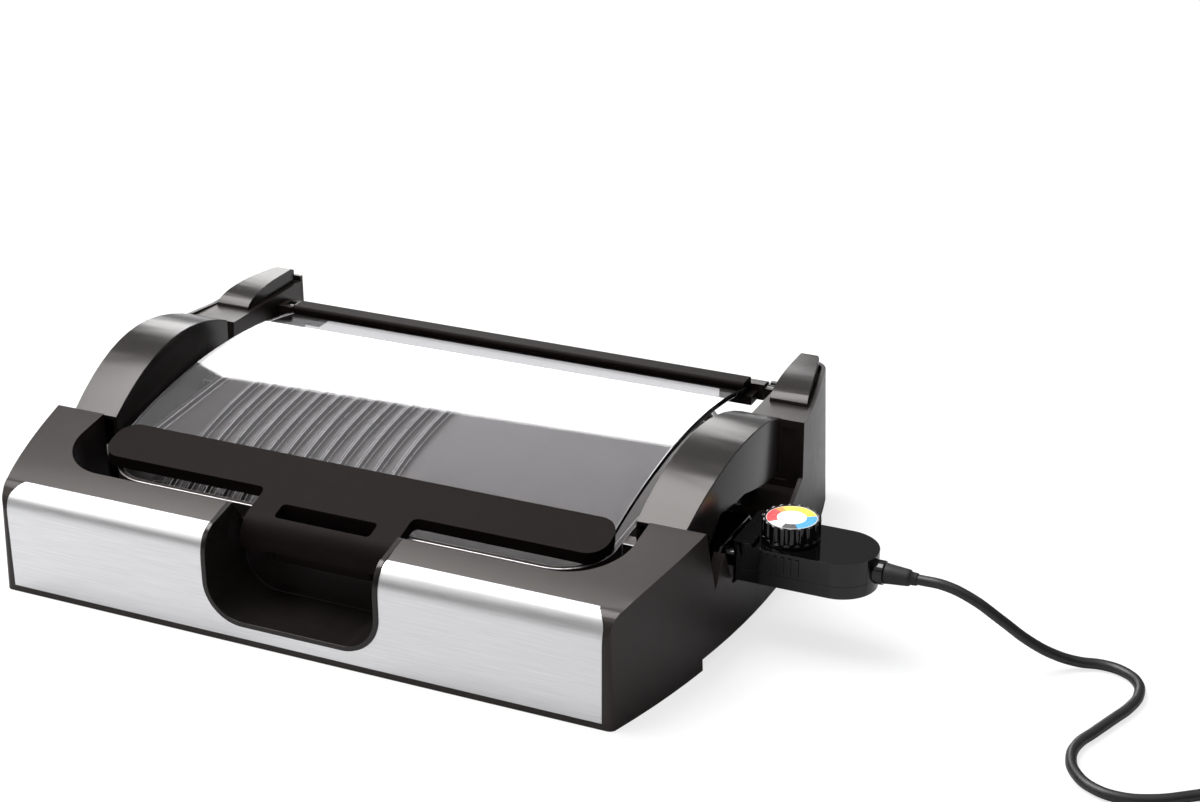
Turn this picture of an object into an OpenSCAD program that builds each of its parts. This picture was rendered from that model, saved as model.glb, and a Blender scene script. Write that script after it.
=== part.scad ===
// Electric table grill with a hinged glass lid.
// Millimetres. The origin is the middle of the front bottom edge of the base, on the table:
// +X to the right, +Y to the back, +Z up. All pieces are drawn assembled, lid closed.

/* [Base] */
// Width of the base along its straight front edge
front_w = 454; // [446:1:470]
// Depth of the base from front to back
base_d = 376; // [370:1:390]
// How far each side bulges beyond the front corners
side_bulge = 33; // [30:1:38]
// Distance from the front to the base's widest line
widest_y = 205; // [195:1:215]
// How far the sides lean in for each millimetre of height
side_lean = 0.04; // [0.03:0.01:0.06]
// Wall of the base mouldings
base_wall = 3; // [2.4:0.1:3.4]
// Height at which the front face starts to roll over
face_h = 58; // [52:1:62]
// Depth of the roll at the top of the front face
roll_d = 14; // [10:1:18]
// Height of the roll at the top of the front face
roll_h = 20; // [14:1:24]
// Rise of the deck from the roll to its rear end
deck_rise = 16; // [12:1:18]
// Depth of the deck at the base's ends
deck_d = 100; // [98:1:102]
// Depth of the deck along its middle
deck_mid_d = 35; // [32:1:40]
// Width of the window between the two ends of the deck
window_w = 418; // [414:1:422]
// Radius of the window's front corners
window_r = 40; // [30:1:50]
// Radius of the base's front vertical corners
front_r = 5; // [3:1:8]
// Radius of the base's rear vertical corners
rear_r = 20; // [12:1:26]
// Height of the rear wall between the posts
rear_wall_h = 36; // [34:1:40]
// Clearance under the sides between the front and rear standing edges
arch_h = 8; // [5:1:10]

/* [Steel panel] */
// Width of the steel panel
panel_w = 440; // [430:1:442]
// Thickness of the steel sheet
panel_t = 0.8; // [0.6:0.1:1]
// Height of the panel's bottom edge
panel_z = 4.5; // [3:0.5:8]
// Radius of the panel's top corners
panel_r = 12; // [8:1:16]

/* [Handle pocket] */
// Inside width of the pocket in the front
pocket_w = 124; // [120:1:132]
// Inside depth of the pocket, from the front face to its back wall
pocket_d = 47; // [44:1:50]
// Height of the pocket's floor
pocket_z = 17; // [12:1:22]
// Radius of the pocket's bottom corners
pocket_r = 25; // [18:1:32]
// Height of the pocket's back wall
pocket_back_h = 65; // [60:1:66]
// Width of the notch in the back wall
notch_w = 82; // [81:1:86]
// Height of the notch's bottom edge
notch_z = 40; // [36:1:42]
// Radius of the notch's bottom corners
notch_r = 8; // [4:1:12]
// Wall of the pocket
pocket_wall = 3.5; // [3:0.1:4]
// How far the pocket's lip stands proud of the steel panel
lip_proud = 0.8; // [0.4:0.1:1.2]

/* [Drip tray] */
// Width of the tray's rim along its front edge
tray_w = 336; // [326:1:346]
// How far the tray's ends bulge
tray_bulge = 35; // [28:1:36]
// Distance from the base's front face to the tray's front edge
tray_y = 54; // [53:1:58]
// Depth of the tray from front to back
tray_d = 274; // [266:1:280]
// Height of the tray's rim above the table
tray_rim_z = 36; // [34:1:38]
// Depth of the tray below its rim
tray_h = 18; // [14:1:18]
// Width of the flat rim
tray_rim_w = 8; // [6:1:10]
// Thickness of the tray's sheet
tray_t = 1; // [0.8:0.1:1.4]
// Radius of the tray's corners
tray_r = 24; // [18:1:30]
// How far the embossed fields rise from the tray's floor
emboss_h = 2; // [1:0.5:3]

/* [Grill plate] */
// Width of the plate
plate_w = 376; // [370:1:378]
// Depth of the plate
plate_d = 248; // [240:1:250]
// Distance from the base's front face to the plate
plate_y = 60; // [58:1:64]
// Height of the plate's bottom at its front edge
plate_z = 53; // [52.5:0.5:54]
// Height of the plate from its bottom to its rim
plate_h = 17; // [15:0.5:18.5]
// Slope of the plate, which drains to the front
plate_tilt = 4; // [3:0.1:4.2]
// Thickness of the plate's floor
plate_floor = 6; // [5:0.5:7]
// Thickness of the plate's side walls
plate_wall = 4; // [3:0.5:5]
// Radius of the plate's corners
plate_r = 36; // [28:1:44]
// Number of ribs on the left half
rib_count = 12; // [8:1:12]
// Distance from rib to rib
rib_pitch = 14.2; // [12.6:0.1:14.4]
// Width of a rib
rib_w = 2.6; // [2:0.1:4]
// Height of a rib above the floor
rib_h = 5; // [3:0.5:7]
// Radius of the ribs' curve in plan
rib_curve = 600; // [400:10:900]
// Distance from the plate's front to where the ribs run straight back
rib_mid_y = 190; // [170:5:210]
// Front end of the line between the ribs and the flat half, from the middle
flat_x = 32; // [24:1:40]
// Width of the slope along the plate's left side
slope_w = 20; // [12:1:22]
// Length of the raised pads at both ends of the grooves
pad_len = 38; // [20:1:60]
// Height of the raised pads
pad_h = 3; // [1:0.5:4]

/* [Heating element] */
// Diameter of the element's sheath
element_d = 7; // [6:0.5:7.5]
// Radius of the element's bends
element_bend = 18; // [14:1:22]
// Distance between the two long runs of the element
element_w = 150; // [130:1:170]
// Distance between the two terminal pins
pin_pitch = 34; // [32:1:36]
// Diameter of a terminal pin
pin_d = 4.8; // [4:0.1:5.2]

/* [Handles] */
// Gap between the plate and each handle
handle_gap = 11; // [10:1:12]
// How much the handle's inner side moves out towards the back
handle_splay = 10; // [6:1:12]
// Length of each handle from front to back
handle_l = 160; // [156:1:162]
// Height of the handle's top at its front end
handle_front_h = 93; // [91:1:95]
// Height of the handle's highest point
handle_mid_h = 122.5; // [118:0.5:125]
// Height of the handle's top at its rear end
handle_rear_h = 107; // [104:1:109]
// Height of the underside's highest point
handle_arch_h = 88; // [86:1:92]
// Height of the rear end's bottom edge
handle_rear_z = 66; // [64:1:70]
// Height of the front flange's tip
flange_z = 58; // [57.5:0.5:60]
// Wall of a handle
handle_wall = 3; // [2.5:0.1:3.5]
// Distance from the middle of the grill to the outer side of each handle
handle_x = 243; // [241:0.5:245]
// Radius of the handle's outer side in plan
handle_r = 415; // [380:5:480]

/* [Socket] */
// Height of the middle of the socket
socket_z = 60; // [59.5:0.25:60.5]
// Distance from the base's front face to the middle of the socket
socket_y = 158; // [156:1:160]
// Outside width of the socket
socket_w = 58; // [56:1:60]
// Outside height of the socket
socket_h = 19; // [18:0.5:20]
// Wall of the socket
socket_wall = 1.8; // [1.4:0.1:2]
// Distance from the middle of the grill to the socket's mouth
socket_x = 246; // [244:1:248]
// Depth of the socket behind its mouth
socket_deep = 30; // [28:1:32]

/* [Thermostat] */
// Length of the thermostat's case
case_l = 90; // [84:1:100]
// Width of the thermostat's case
case_w = 50; // [48:1:56]
// Height of the thermostat's case
case_h = 25; // [22:1:28]
// Wall of the thermostat's case
case_wall = 2; // [1.6:0.1:2.4]
// Gap between the socket's mouth and the case
case_gap = 7; // [5:1:9]
// Diameter of the prong sleeves
prong_d = 13; // [11:0.5:13.5]
// Length of the prong sleeves
prong_l = 22; // [18:1:26]
// Diameter of the temperature probe
probe_d = 6.5; // [5:0.1:7]
// Length of the temperature probe in front of the case
probe_l = 53; // [50:1:56]
// Diameter of the knob
knob_d = 38.6; // [36:0.2:44]
// Height of the knob
knob_h = 14; // [10:1:18]
// Distance from the case's front to the middle of the knob
knob_x = 31; // [29:1:36]
// Number of scallops round the knob
scallop_count = 18; // [12:1:24]

/* [Lid] */
// Thickness of the glass
glass_t = 4; // [3:0.5:4.5]
// Width of the glass
glass_w = 376; // [366:1:378]
// Height of the glass's highest line above the plate's front rim
glass_rise = 36.5; // [36:0.5:38]
// Distance from the base's front face to the glass's highest line
glass_top_y = 225; // [222:1:228]
// Radius of the glass's curve
glass_r = 455; // [445:5:475]
// Width of the lid's front bar
bar_w = 380; // [374:1:384]
// Depth of the lid's front bar
bar_d = 33; // [30:1:36]
// Distance from the base's front face to the front bar
bar_y = 67; // [66:1:70]
// Thickness of the front bar
bar_t = 8; // [7.5:0.25:8.25]
// Width of the lid's handle
grip_w = 112; // [104:1:114]
// Distance from the base's front face to the nose of the lid's handle
grip_y = 32; // [30:1:36]
// Height of the nose's lower edge
grip_z = 54; // [50:1:56]
// Width of the finger slot in the lid's handle
slot_w = 72; // [60:1:74]
// Distance from the base's front face to the rear bar
rear_bar_y = 322; // [320:1:324]
// Depth of the rear bar
rear_bar_d = 16; // [15:1:17]
// Height of the rear bar
rear_bar_h = 11; // [10:1:12]
// Distance from the base's front face to the hinge axis
hinge_y = 345; // [344:1:350]
// Height of the hinge axis
hinge_z = 88; // [86:1:89]
// Radius of the hinge pins
hinge_pin_r = 4; // [3:0.5:4.5]

/* [Rear posts] */
// Distance from the middle of the grill to the inner side of each post
post_x = 212; // [211:1:214]
// Distance from the base's front face to each post
post_y = 270; // [267:1:274]
// Height of each post's shelf
post_h = 102; // [98:1:104]
// Height of the caps on the posts
cap_h = 112; // [109:1:116]
// Height of the step in front of each post
step_z = 52; // [48:1:54]

/* [Feet] */
// Diameter of a rubber foot
foot_d = 16; // [12:1:18]

/* [Cord] */
// Diameter of the cord
cord_d = 7; // [6:0.5:7.5]
// Diameter of the coil at the middle of its turns
coil_d = 72; // [70:1:84]

/* [Hidden] */
// Far enough to cut through everything
FAR = 600;
// Gap between neighbouring pieces of one body
SEAM = 0.2;
// Gap between a piece that lifts out and its seat
RUN = 0.3;
// Gap round a pin or screw in its bore
FIT = 0.05;
$fn = 96;
// Fragments of the widest arcs
WIDE = 360;

black = "#1d1c1c";
steel = "#c9c8cf";

// ---- Helpers ----

// A box given by its lowest and highest corners
module box(low, high) {
    translate(low)
        cube(high - low);
}

// A shape drawn as [y, z], carried along the width
module along_x(from = -FAR, to = FAR) {
    translate([from, 0, 0])
        rotate([90, 0, 90])
            linear_extrude(to - from)
                children();
}

// A shape drawn as [x, z], carried from front to back
module along_y(from, to) {
    translate([0, to, 0])
        rotate([90, 0, 0])
            linear_extrude(to - from)
                children();
}

// A round bar along X
module bar_x(x0, x1, r) {
    translate([x0, 0, 0])
        rotate([0, 90, 0])
            cylinder(r = r, h = x1 - x0);
}

// The right-hand piece as drawn, or its mirror image on the left
module on_side(side) {
    if (side > 0)
        children();
    else
        mirror([1, 0, 0])
            children();
}

module both_sides() {
    children();
    mirror([1, 0, 0])
        children();
}

// A U open to the top, given by half its width, its lowest line and its corner radius
module u_shape(half_w, bottom, r) {
    translate([-half_w, bottom + r])
        square([2 * half_w, FAR]);
    translate([-(half_w - r), bottom])
        square([2 * (half_w - r), FAR]);
    for (side = [-1, 1])
        translate([side * (half_w - r), bottom + r])
            circle(r);
}

// A rectangle with round corners, given by its corners
module round_box(low, high, r) {
    translate([low[0], low[1] + r])
        square([high[0] - low[0], high[1] - low[1] - 2 * r]);
    translate([low[0] + r, low[1]])
        square([high[0] - low[0] - 2 * r, high[1] - low[1]]);
    for (x = [low[0] + r, high[0] - r])
        for (y = [low[1] + r, high[1] - r])
            translate([x, y])
                circle(r);
}

// What a round corner leaves over, outside the arc from an angle to the +Y direction
corner_reach = 60;
module corner_waste(angle, r) {
    difference() {
        polygon([[0, 0], [corner_reach * cos(angle), corner_reach * sin(angle)],
            [corner_reach, corner_reach], [0, corner_reach]]);
        circle(r);
    }
}

// A screw standing on its head at z = 0, pointing up
module screw(r, length, head_r = 3, head_h = 1.6) {
    cylinder(r = head_r, h = head_h);
    cylinder(r = r, h = length);
}

// ---- Outline of the base ----

side_r = (pow(widest_y, 2) + pow(side_bulge, 2)) / (2 * side_bulge);
base_half_w = front_w / 2 + side_bulge;
arc_x = side_r - base_half_w;
lean_angle = atan(side_lean);
block_low = -5;
block_high = 135;

// Half the base's width at a distance from the front and a height
function side_x(y, z = 0) = sqrt(pow(side_r - side_lean * z, 2) - pow(y - widest_y, 2)) - arc_x;

module side_cone(side, inset) {
    translate([-side * arc_x, widest_y, block_low])
        cylinder(
            r1 = side_r - inset - side_lean * block_low,
            r2 = side_r - inset - side_lean * block_high,
            h = block_high - block_low,
            $fn = WIDE);
}

// Waste beyond a vertical corner on the right, of radius r, whose centre is at a distance from the front
module base_corner(y, r, inset) {
    reach = abs(y - widest_y);
    translate([sqrt(pow(side_r - r, 2) - pow(reach, 2)) - arc_x, y, 0])
        rotate([0, -lean_angle, 0])
            translate([0, 0, -FAR / 2])
                linear_extrude(FAR)
                    mirror([0, y < widest_y ? 1 : 0])
                        corner_waste(asin(reach / (side_r - r)), max(0.5, r - inset));
}

// The base's solid form, drawn in by an inset
module base_block(inset = 0) {
    difference() {
        intersection() {
            box([-FAR, inset, block_low], [FAR, base_d - inset, block_high]);
            side_cone(1, inset);
            side_cone(-1, inset);
        }
        both_sides() {
            base_corner(front_r, front_r, inset);
            base_corner(base_d - rear_r, rear_r, inset);
        }
    }
}

// The room inside the base's walls
module base_room(extra = SEAM) {
    base_block(base_wall + extra);
}

// ---- Front beam and deck ----

deck_front_z = face_h + roll_h;
function deck_z(y) = deck_front_z + deck_rise * pow(max(0, y - roll_d) / (deck_d - roll_d), 0.8);
// The roll at the top of the front face, drawn in by an inset
function roll_points(inset) = [for (a = [0 : 10 : 90])
    [roll_d - (roll_d - inset) * cos(a), face_h + (roll_h - inset) * sin(a)]];
function deck_points(drop) = [for (i = [1 : 8])
    let (y = roll_d + (deck_d - roll_d) * i / 8) [y, deck_z(y) - drop]];
function reversed(points) = [for (i = [len(points) - 1 : -1 : 0]) points[i]];

// Shelf that carries the drip tray
shelf_t = 3;
shelf_top = tray_rim_z - tray_h - RUN;
shelf_z = shelf_top - shelf_t;
inner_bottom = shelf_top + SEAM;

screw_r = 1.5;
boss_r = 4.5;
beam_screws = [[-190, 20], [-100, 20], [100, 20], [190, 20]];
post_screws = [[-(post_x + 14), post_y + 30], [post_x + 14, post_y + 30]];
screw_l = 16;

// The window between the two ends of the deck
module window_shape(grow = 0) {
    r = window_r + grow;
    half_w = window_w / 2 + grow;
    translate([-half_w, deck_mid_d - grow + r])
        square([2 * half_w, FAR]);
    translate([-(half_w - r), deck_mid_d - grow])
        square([2 * (half_w - r), FAR]);
    for (side = [-1, 1])
        translate([side * (half_w - r), deck_mid_d - grow + r])
            circle(r);
}

module window_cut(grow = 0) {
    translate([0, 0, block_low])
        linear_extrude(block_high - block_low)
            window_shape(grow);
}

module beam_cavity() {
    difference() {
        intersection() {
            base_block(base_wall);
            along_x()
                polygon(concat([[base_wall, block_low]], roll_points(base_wall), deck_points(base_wall),
                    [[deck_d, block_low]]));
            box([-FAR, 0, block_low], [FAR, deck_d - base_wall, block_high]);
        }
        window_cut(base_wall);
        for (p = beam_screws)
            translate([p[0], p[1], inner_bottom])
                cylinder(r = boss_r, h = block_high);
    }
}

// Outline of the steel panel seen from the front
module panel_face(grow = 0) {
    half_w = panel_w / 2 + grow;
    top = deck_front_z + 1;
    along_y(-10, deck_d)
        difference() {
            translate([-half_w, panel_z - grow])
                square([2 * half_w, top - panel_z + grow]);
            for (side = [-1, 1])
                translate([side * half_w, top])
                    difference() {
                        square(2 * panel_r, center = true);
                        translate([-side * panel_r, -panel_r])
                            circle(panel_r);
                    }
        }
}

module panel_recess() {
    depth = panel_t + SEAM;
    intersection() {
        panel_face(SEAM);
        along_x()
            polygon(concat([[-10, 0], [depth, 0]], roll_points(depth),
                [[roll_d + SEAM, deck_front_z - depth], [roll_d + SEAM, block_high], [-10, block_high]]));
    }
}

module pocket_cut(grow = 0) {
    along_y(-10, pocket_d + pocket_wall + grow)
        u_shape(pocket_w / 2 + pocket_wall + grow, pocket_z - pocket_wall - grow, pocket_r + pocket_wall + grow);
}

// ---- Sides ----

// Lowest point of the notch that takes the handle's flange, and the tooth behind it
notch_tip = [deck_d + 9, flange_z - 8];
tooth_tip = [deck_d + 23, flange_z + 12];
step_y = post_y - 42;
side_gap_z = 24;
left_ledge_z = 50;
gap_end = socket_y + socket_w / 4;
lift_gap_z = socket_z - case_h / 2 - 3;

// Upper edge of a side wall behind the deck
function side_edge(right) = concat(
    [[deck_d, deck_z(deck_d)], notch_tip, tooth_tip],
    right
        ? [[tooth_tip[0] + 9, lift_gap_z], [gap_end, lift_gap_z - 2], [gap_end, side_gap_z],
            [step_y - 2, side_gap_z]]
        : [[tooth_tip[0] + 2, left_ledge_z]],
    [[step_y - 2, left_ledge_z], [post_y - 5, step_z + 10], [post_y, post_h], [post_y + 30, post_h - 1],
        [hinge_y, post_h + 3], [base_d + 5, post_h + 2]]);

module side_profile(right) {
    along_x(right ? 0 : -FAR, right ? FAR : 0)
        polygon(concat([[-5, 0], [-5, face_h]], roll_points(0), deck_points(0), side_edge(right),
            [[base_d + 5, 0]]));
}

// The arch under both sides, and a slot behind it
module side_arches() {
    box([-FAR, deck_d - 8, -1], [FAR, post_y + 20, arch_h]);
    box([-FAR, post_y + 27, -1], [FAR, post_y + 32, arch_h + 10]);
}

// Seats for the handles' front flanges, each with a slope behind it that leads the flange in
seat_w = 17;
seat_t = 12;
module handle_seats() {
    seat_z = flange_z - RUN;
    both_sides()
        intersection() {
            base_block(base_wall - 0.5);
            union() {
                box([handle_x - seat_w, deck_d - base_wall / 2, seat_z - seat_t], [FAR, notch_tip[0], seat_z]);
                along_x(handle_x + 1, FAR)
                    polygon([[notch_tip[0] - 1, seat_z - seat_t], [tooth_tip[0], seat_z - seat_t], tooth_tip,
                        [notch_tip[0] - 1, notch_tip[1]]]);
            }
        }
}

module base_shell() {
    color(black) {
        difference() {
            intersection() {
                base_block();
                union() {
                    side_profile(true);
                    side_profile(false);
                }
            }
            intersection() {
                base_block(base_wall);
                union() {
                    box([-FAR, deck_d, block_low], [FAR, FAR, block_high]);
                    box([-FAR, 0, block_low], [FAR, FAR, inner_bottom]);
                }
            }
            window_cut();
            beam_cavity();
            panel_recess();
            pocket_cut(SEAM);
            side_arches();
            box([-post_x, base_d - 2 * base_wall, rear_wall_h], [post_x, base_d + 5, block_high]);
            for (p = beam_screws)
                translate([p[0], p[1], 0])
                    cylinder(r = screw_r + FIT, h = shelf_z + screw_l + 1);
        }
        handle_seats();
    }
}

module front_panel() {
    color(steel)
        difference() {
            intersection() {
                panel_face();
                along_x()
                    polygon(concat([[0, panel_z]], roll_points(0), reversed(roll_points(panel_t)),
                        [[panel_t, panel_z]]));
            }
            pocket_cut(SEAM);
        }
}

module handle_pocket() {
    back = pocket_d + pocket_wall;
    color(black)
        difference() {
            intersection() {
                along_y(-lip_proud, back)
                    u_shape(pocket_w / 2 + pocket_wall, pocket_z - pocket_wall, pocket_r + pocket_wall);
                along_x()
                    polygon(concat([[-lip_proud, 0]], roll_points(-lip_proud),
                        [[deck_mid_d, deck_z(deck_mid_d)], [pocket_d, pocket_back_h], [back, pocket_back_h],
                            [back, 0]]));
            }
            along_y(-10, pocket_d)
                u_shape(pocket_w / 2, pocket_z, pocket_r);
            along_y(pocket_d - 1, back + 1)
                u_shape(notch_w / 2, notch_z, notch_r);
        }
}

// ---- Tray frame, posts and feet ----

// Gap between the tray's body and the ring that it hangs in
ring_gap = 1;
ring_t = 3;
ring_top = tray_rim_z - tray_t - RUN;
ledge_x = 228;
right_ledge_z = 24;
rear_ledge_z = 31;
ledge_t = 3;
rear_ledge_y = base_d - 30;
ledge_y = tooth_tip[0] + 1;
foot_spots = [[188, 62], [194, base_d - 55]];
foot_h = 4;
foot_stem_r = 2.5;
foot_stem_h = 9;

// A ledge along one side and the wall that carries it
module side_ledge(side, top) {
    intersection() {
        base_room();
        on_side(side) {
            box([ledge_x, ledge_y, top - ledge_t], [FAR, step_y - SEAM, top]);
            box([ledge_x, ledge_y, shelf_top - 1], [ledge_x + ledge_t, step_y - SEAM, top]);
        }
    }
}

module at_feet() {
    for (p = foot_spots)
        both_sides()
            translate([p[0], p[1], 0])
                children();
}

// Outline of the ring, whose corners are cut straight
module ring_plan(inset) {
    r = tray_r - inset;
    mid = (tray_turn + 90) / 2;
    flat_x = tray_corner[0] + r * (1 - sin(mid)) / cos(mid);
    end_y = tray_corner[1] + (r - (tray_w - tray_corner[0]) * cos(mid)) / sin(mid);
    translate([0, tray_mid_y])
        intersection() {
            translate([tray_arc_x, 0])
                circle(tray_end_r - inset, $fn = WIDE);
            translate([-tray_arc_x, 0])
                circle(tray_end_r - inset, $fn = WIDE);
            polygon([for (q = [[1, 1], [1, -1], [-1, -1], [-1, 1]])
                for (p = q[0] * q[1] > 0 ? [[flat_x, tray_corner[1] + r], [tray_w, end_y]]
                                         : [[tray_w, end_y], [flat_x, tray_corner[1] + r]])
                    [q[0] * p[0], q[1] * p[1]]]);
        }
}

module tray_frame() {
    color(black)
        difference() {
            union() {
                intersection() {
                    base_room();
                    box([-FAR, 0, shelf_z], [FAR, FAR, shelf_top]);
                }
                side_ledge(-1, left_ledge_z - 2);
                side_ledge(1, right_ledge_z);
                box([-(post_x - 14), rear_ledge_y, rear_ledge_z - ledge_t],
                    [post_x - 14, base_d - base_wall - SEAM, rear_ledge_z]);
                box([-(post_x - 14), rear_ledge_y, shelf_top - 1],
                    [post_x - 14, rear_ledge_y + ledge_t, rear_ledge_z]);
                // Ring that carries the tray by its rim
                translate([0, 0, shelf_z])
                    linear_extrude(ring_top - shelf_z)
                        ring_plan(tray_rim_w - ring_gap - ring_t);
                at_feet()
                    translate([0, 0, foot_h + SEAM])
                        cylinder(d = foot_d, h = shelf_z - foot_h);
            }
            linear_extrude(FAR)
                ring_plan(tray_rim_w - ring_gap);
            pocket_cut(SEAM);
            for (p = concat(beam_screws, post_screws))
                translate([p[0], p[1], 0])
                    cylinder(r = screw_r + FIT, h = FAR);
            at_feet()
                cylinder(r = foot_stem_r + FIT, h = foot_h + foot_stem_h + 0.5);
        }
}

module base_screws() {
    color("silver")
        for (p = concat(beam_screws, post_screws))
            translate([p[0], p[1], shelf_z - 1.6])
                screw(screw_r, screw_l);
}

post_wall = 2.5;
post_room_y = base_d - base_wall - SEAM;

function post_points(drop, bottom) = [
    [step_y + drop, bottom], [step_y + drop, step_z - drop], [post_y - 3 + drop, step_z - drop],
    [post_y + 4 + drop, post_h - 2 - drop], [post_room_y - drop, post_h - 2 - drop], [post_room_y - drop, bottom]];

module rear_post(side) {
    color(black)
        on_side(side)
            difference() {
                intersection() {
                    base_room();
                    along_x(post_x, FAR)
                        polygon(post_points(0, inner_bottom));
                }
                difference() {
                    intersection() {
                        base_room(SEAM + post_wall);
                        along_x(post_x + post_wall, FAR)
                            polygon(post_points(post_wall, 0));
                    }
                    translate([post_screws[1][0], post_screws[1][1], inner_bottom])
                        cylinder(r = boss_r, h = FAR);
                }
                translate([post_screws[1][0], post_screws[1][1], 0])
                    cylinder(r = screw_r + FIT, h = shelf_z + screw_l + 1);
                // Tapered panel sunk into the front of the post
                intersection() {
                    along_y(step_y, FAR)
                        polygon([[post_x + 5, post_h - 8], [post_x + 9, step_z + 5], [post_x + 30, step_z + 5],
                            [post_x + 34, post_h - 8]]);
                    along_x()
                        polygon([[post_y - 4, step_z], [post_y + 4 - 1, post_h], [post_y + 5, post_h],
                            [post_y - 2, step_z]]);
                }
            }
}

module rear_post_left() rear_post(-1);
module rear_post_right() rear_post(1);

cap_y = post_y + 30;
cap_bottom = post_h - 2 + SEAM;
module post_cap(side) {
    color(black)
        on_side(side)
            intersection() {
                base_block(base_wall + SEAM + 1.5);
                along_x(post_x + 4, FAR)
                    polygon(concat(
                        [[cap_y, cap_bottom]],
                        [for (a = [10 : 10 : 90])
                            [hinge_y - (hinge_y - cap_y) * cos(a), cap_bottom + (cap_h - cap_bottom) * sin(a)]],
                        [[base_d - 10, cap_h], [base_d - 6, cap_h - 2], [base_d - 6, cap_bottom]]));
            }
}

module post_cap_left() post_cap(-1);
module post_cap_right() post_cap(1);

// ---- Hinge ----

socket_block_l = 13;
hinge_block_d = 16;
pin_end = post_x - 5;
module hinge_socket(side) {
    x0 = post_x - socket_block_l;
    color(black)
        on_side(side)
            difference() {
                box([x0, hinge_y - hinge_block_d / 2, hinge_z - 16],
                    [post_x - SEAM, hinge_y + hinge_block_d / 2, hinge_z + 4]);
                translate([0, hinge_y, hinge_z])
                    bar_x(x0 - 1, pin_end + RUN, hinge_pin_r + FIT);
                box([x0 - 1, hinge_y - hinge_pin_r - FIT, hinge_z],
                    [pin_end + RUN, hinge_y + hinge_pin_r + FIT, hinge_z + 10]);
            }
}

module hinge_socket_left() hinge_socket(-1);
module hinge_socket_right() hinge_socket(1);

module foot(side, i) {
    color("#2b2b2b")
        translate([side * foot_spots[i][0], foot_spots[i][1], 0]) {
            cylinder(d = foot_d, h = foot_h);
            cylinder(r = foot_stem_r, h = foot_h + foot_stem_h);
        }
}

module foot_front_left() foot(-1, 0);
module foot_front_right() foot(1, 0);
module foot_rear_left() foot(-1, 1);
module foot_rear_right() foot(1, 1);

// ---- Drip tray ----

tray_end_r = (pow(tray_d / 2, 2) + pow(tray_bulge, 2)) / (2 * tray_bulge);
tray_arc_x = tray_end_r - tray_w / 2 - tray_bulge;
tray_mid_y = tray_y + tray_d / 2;
// Middle of a corner's arc, and the angle at which it meets the end's
tray_reach = tray_d / 2 - tray_r;
tray_corner = [sqrt(pow(tray_end_r - tray_r, 2) - pow(tray_reach, 2)) - tray_arc_x, tray_reach];
tray_turn = asin(tray_reach / (tray_end_r - tray_r));

// The tray in plan, drawn in by an inset
module tray_plan(inset) {
    r = tray_r - inset;
    difference() {
        intersection() {
            translate([-FAR, tray_y + inset])
                square([2 * FAR, tray_d - 2 * inset]);
            translate([tray_arc_x, tray_mid_y])
                circle(tray_end_r - inset, $fn = WIDE);
            translate([-tray_arc_x, tray_mid_y])
                circle(tray_end_r - inset, $fn = WIDE);
        }
        for (sx = [0, 1])
            for (sy = [0, 1])
                mirror([sx, 0])
                    translate([tray_corner[0], tray_mid_y + (sy == 1 ? -tray_reach : tray_reach)])
                        mirror([0, sy])
                            corner_waste(tray_turn, r);
    }
}

// Embossed fields that leave a cross of channels in the floor
emboss_x = tray_w / 2 - 18;
emboss_y = tray_d / 2 - 29;
module emboss_plan(grow = 0) {
    both_sides()
        for (m = [0, 1])
            translate([0, tray_mid_y])
                mirror([0, m])
                    polygon([[52 - grow, 0], [emboss_x + grow, 0], [emboss_x + grow, emboss_y - 20 + grow],
                        [emboss_x - 32, emboss_y - 18 + grow], [52 - grow, 30]]);
    for (m = [0, 1])
        translate([0, tray_mid_y])
            mirror([0, m])
                polygon([[60 - emboss_x - grow, emboss_y + grow], [emboss_x - 60 + grow, emboss_y + grow],
                    [28, 38 - grow], [-28, 38 - grow]]);
}

module drip_tray() {
    floor_z = tray_rim_z - tray_h;
    color("#b9b8c2")
        difference() {
            union() {
                translate([0, 0, tray_rim_z - tray_t])
                    linear_extrude(tray_t)
                        tray_plan(0);
                translate([0, 0, floor_z])
                    linear_extrude(tray_h - tray_t / 2)
                        tray_plan(tray_rim_w);
            }
            difference() {
                translate([0, 0, floor_z + tray_t])
                    linear_extrude(tray_h)
                        tray_plan(tray_rim_w + tray_t);
                translate([0, 0, floor_z])
                    linear_extrude(tray_t + emboss_h)
                        emboss_plan(tray_t);
            }
            translate([0, 0, floor_z - 1])
                linear_extrude(1 + emboss_h)
                    emboss_plan();
        }
}

// ---- Grill plate ----

module tilted() {
    translate([0, plate_y, plate_z])
        rotate([plate_tilt, 0, 0])
            children();
}

module plate_plan(inset) {
    round_box([-plate_w / 2 + inset, inset], [plate_w / 2 - inset, plate_d - inset], plate_r - inset);
}

pad_w = 5;
rib_margin = 9;

// A band along a rib, from one distance to the other to the left of the rib's middle
module rib_band(x_end, from, to) {
    translate([x_end + rib_curve, rib_mid_y])
        difference() {
            circle(rib_curve + to, $fn = WIDE);
            circle(rib_curve + from, $fn = WIDE);
        }
}

// Where the rib next to the flat half ends at the back
first_rib_x = flat_x - pow(rib_mid_y - rib_margin, 2) / (2 * rib_curve) - rib_pitch;
rib_ends = [for (i = [0 : rib_count - 1]) first_rib_x - i * rib_pitch];

module ribs_plan() {
    intersection() {
        plate_plan(plate_wall + 1);
        translate([-FAR, rib_margin])
            square([2 * FAR, plate_d - 2 * rib_margin]);
        union()
            for (x = rib_ends)
                rib_band(x, -rib_w / 2, rib_w / 2);
    }
}

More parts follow.
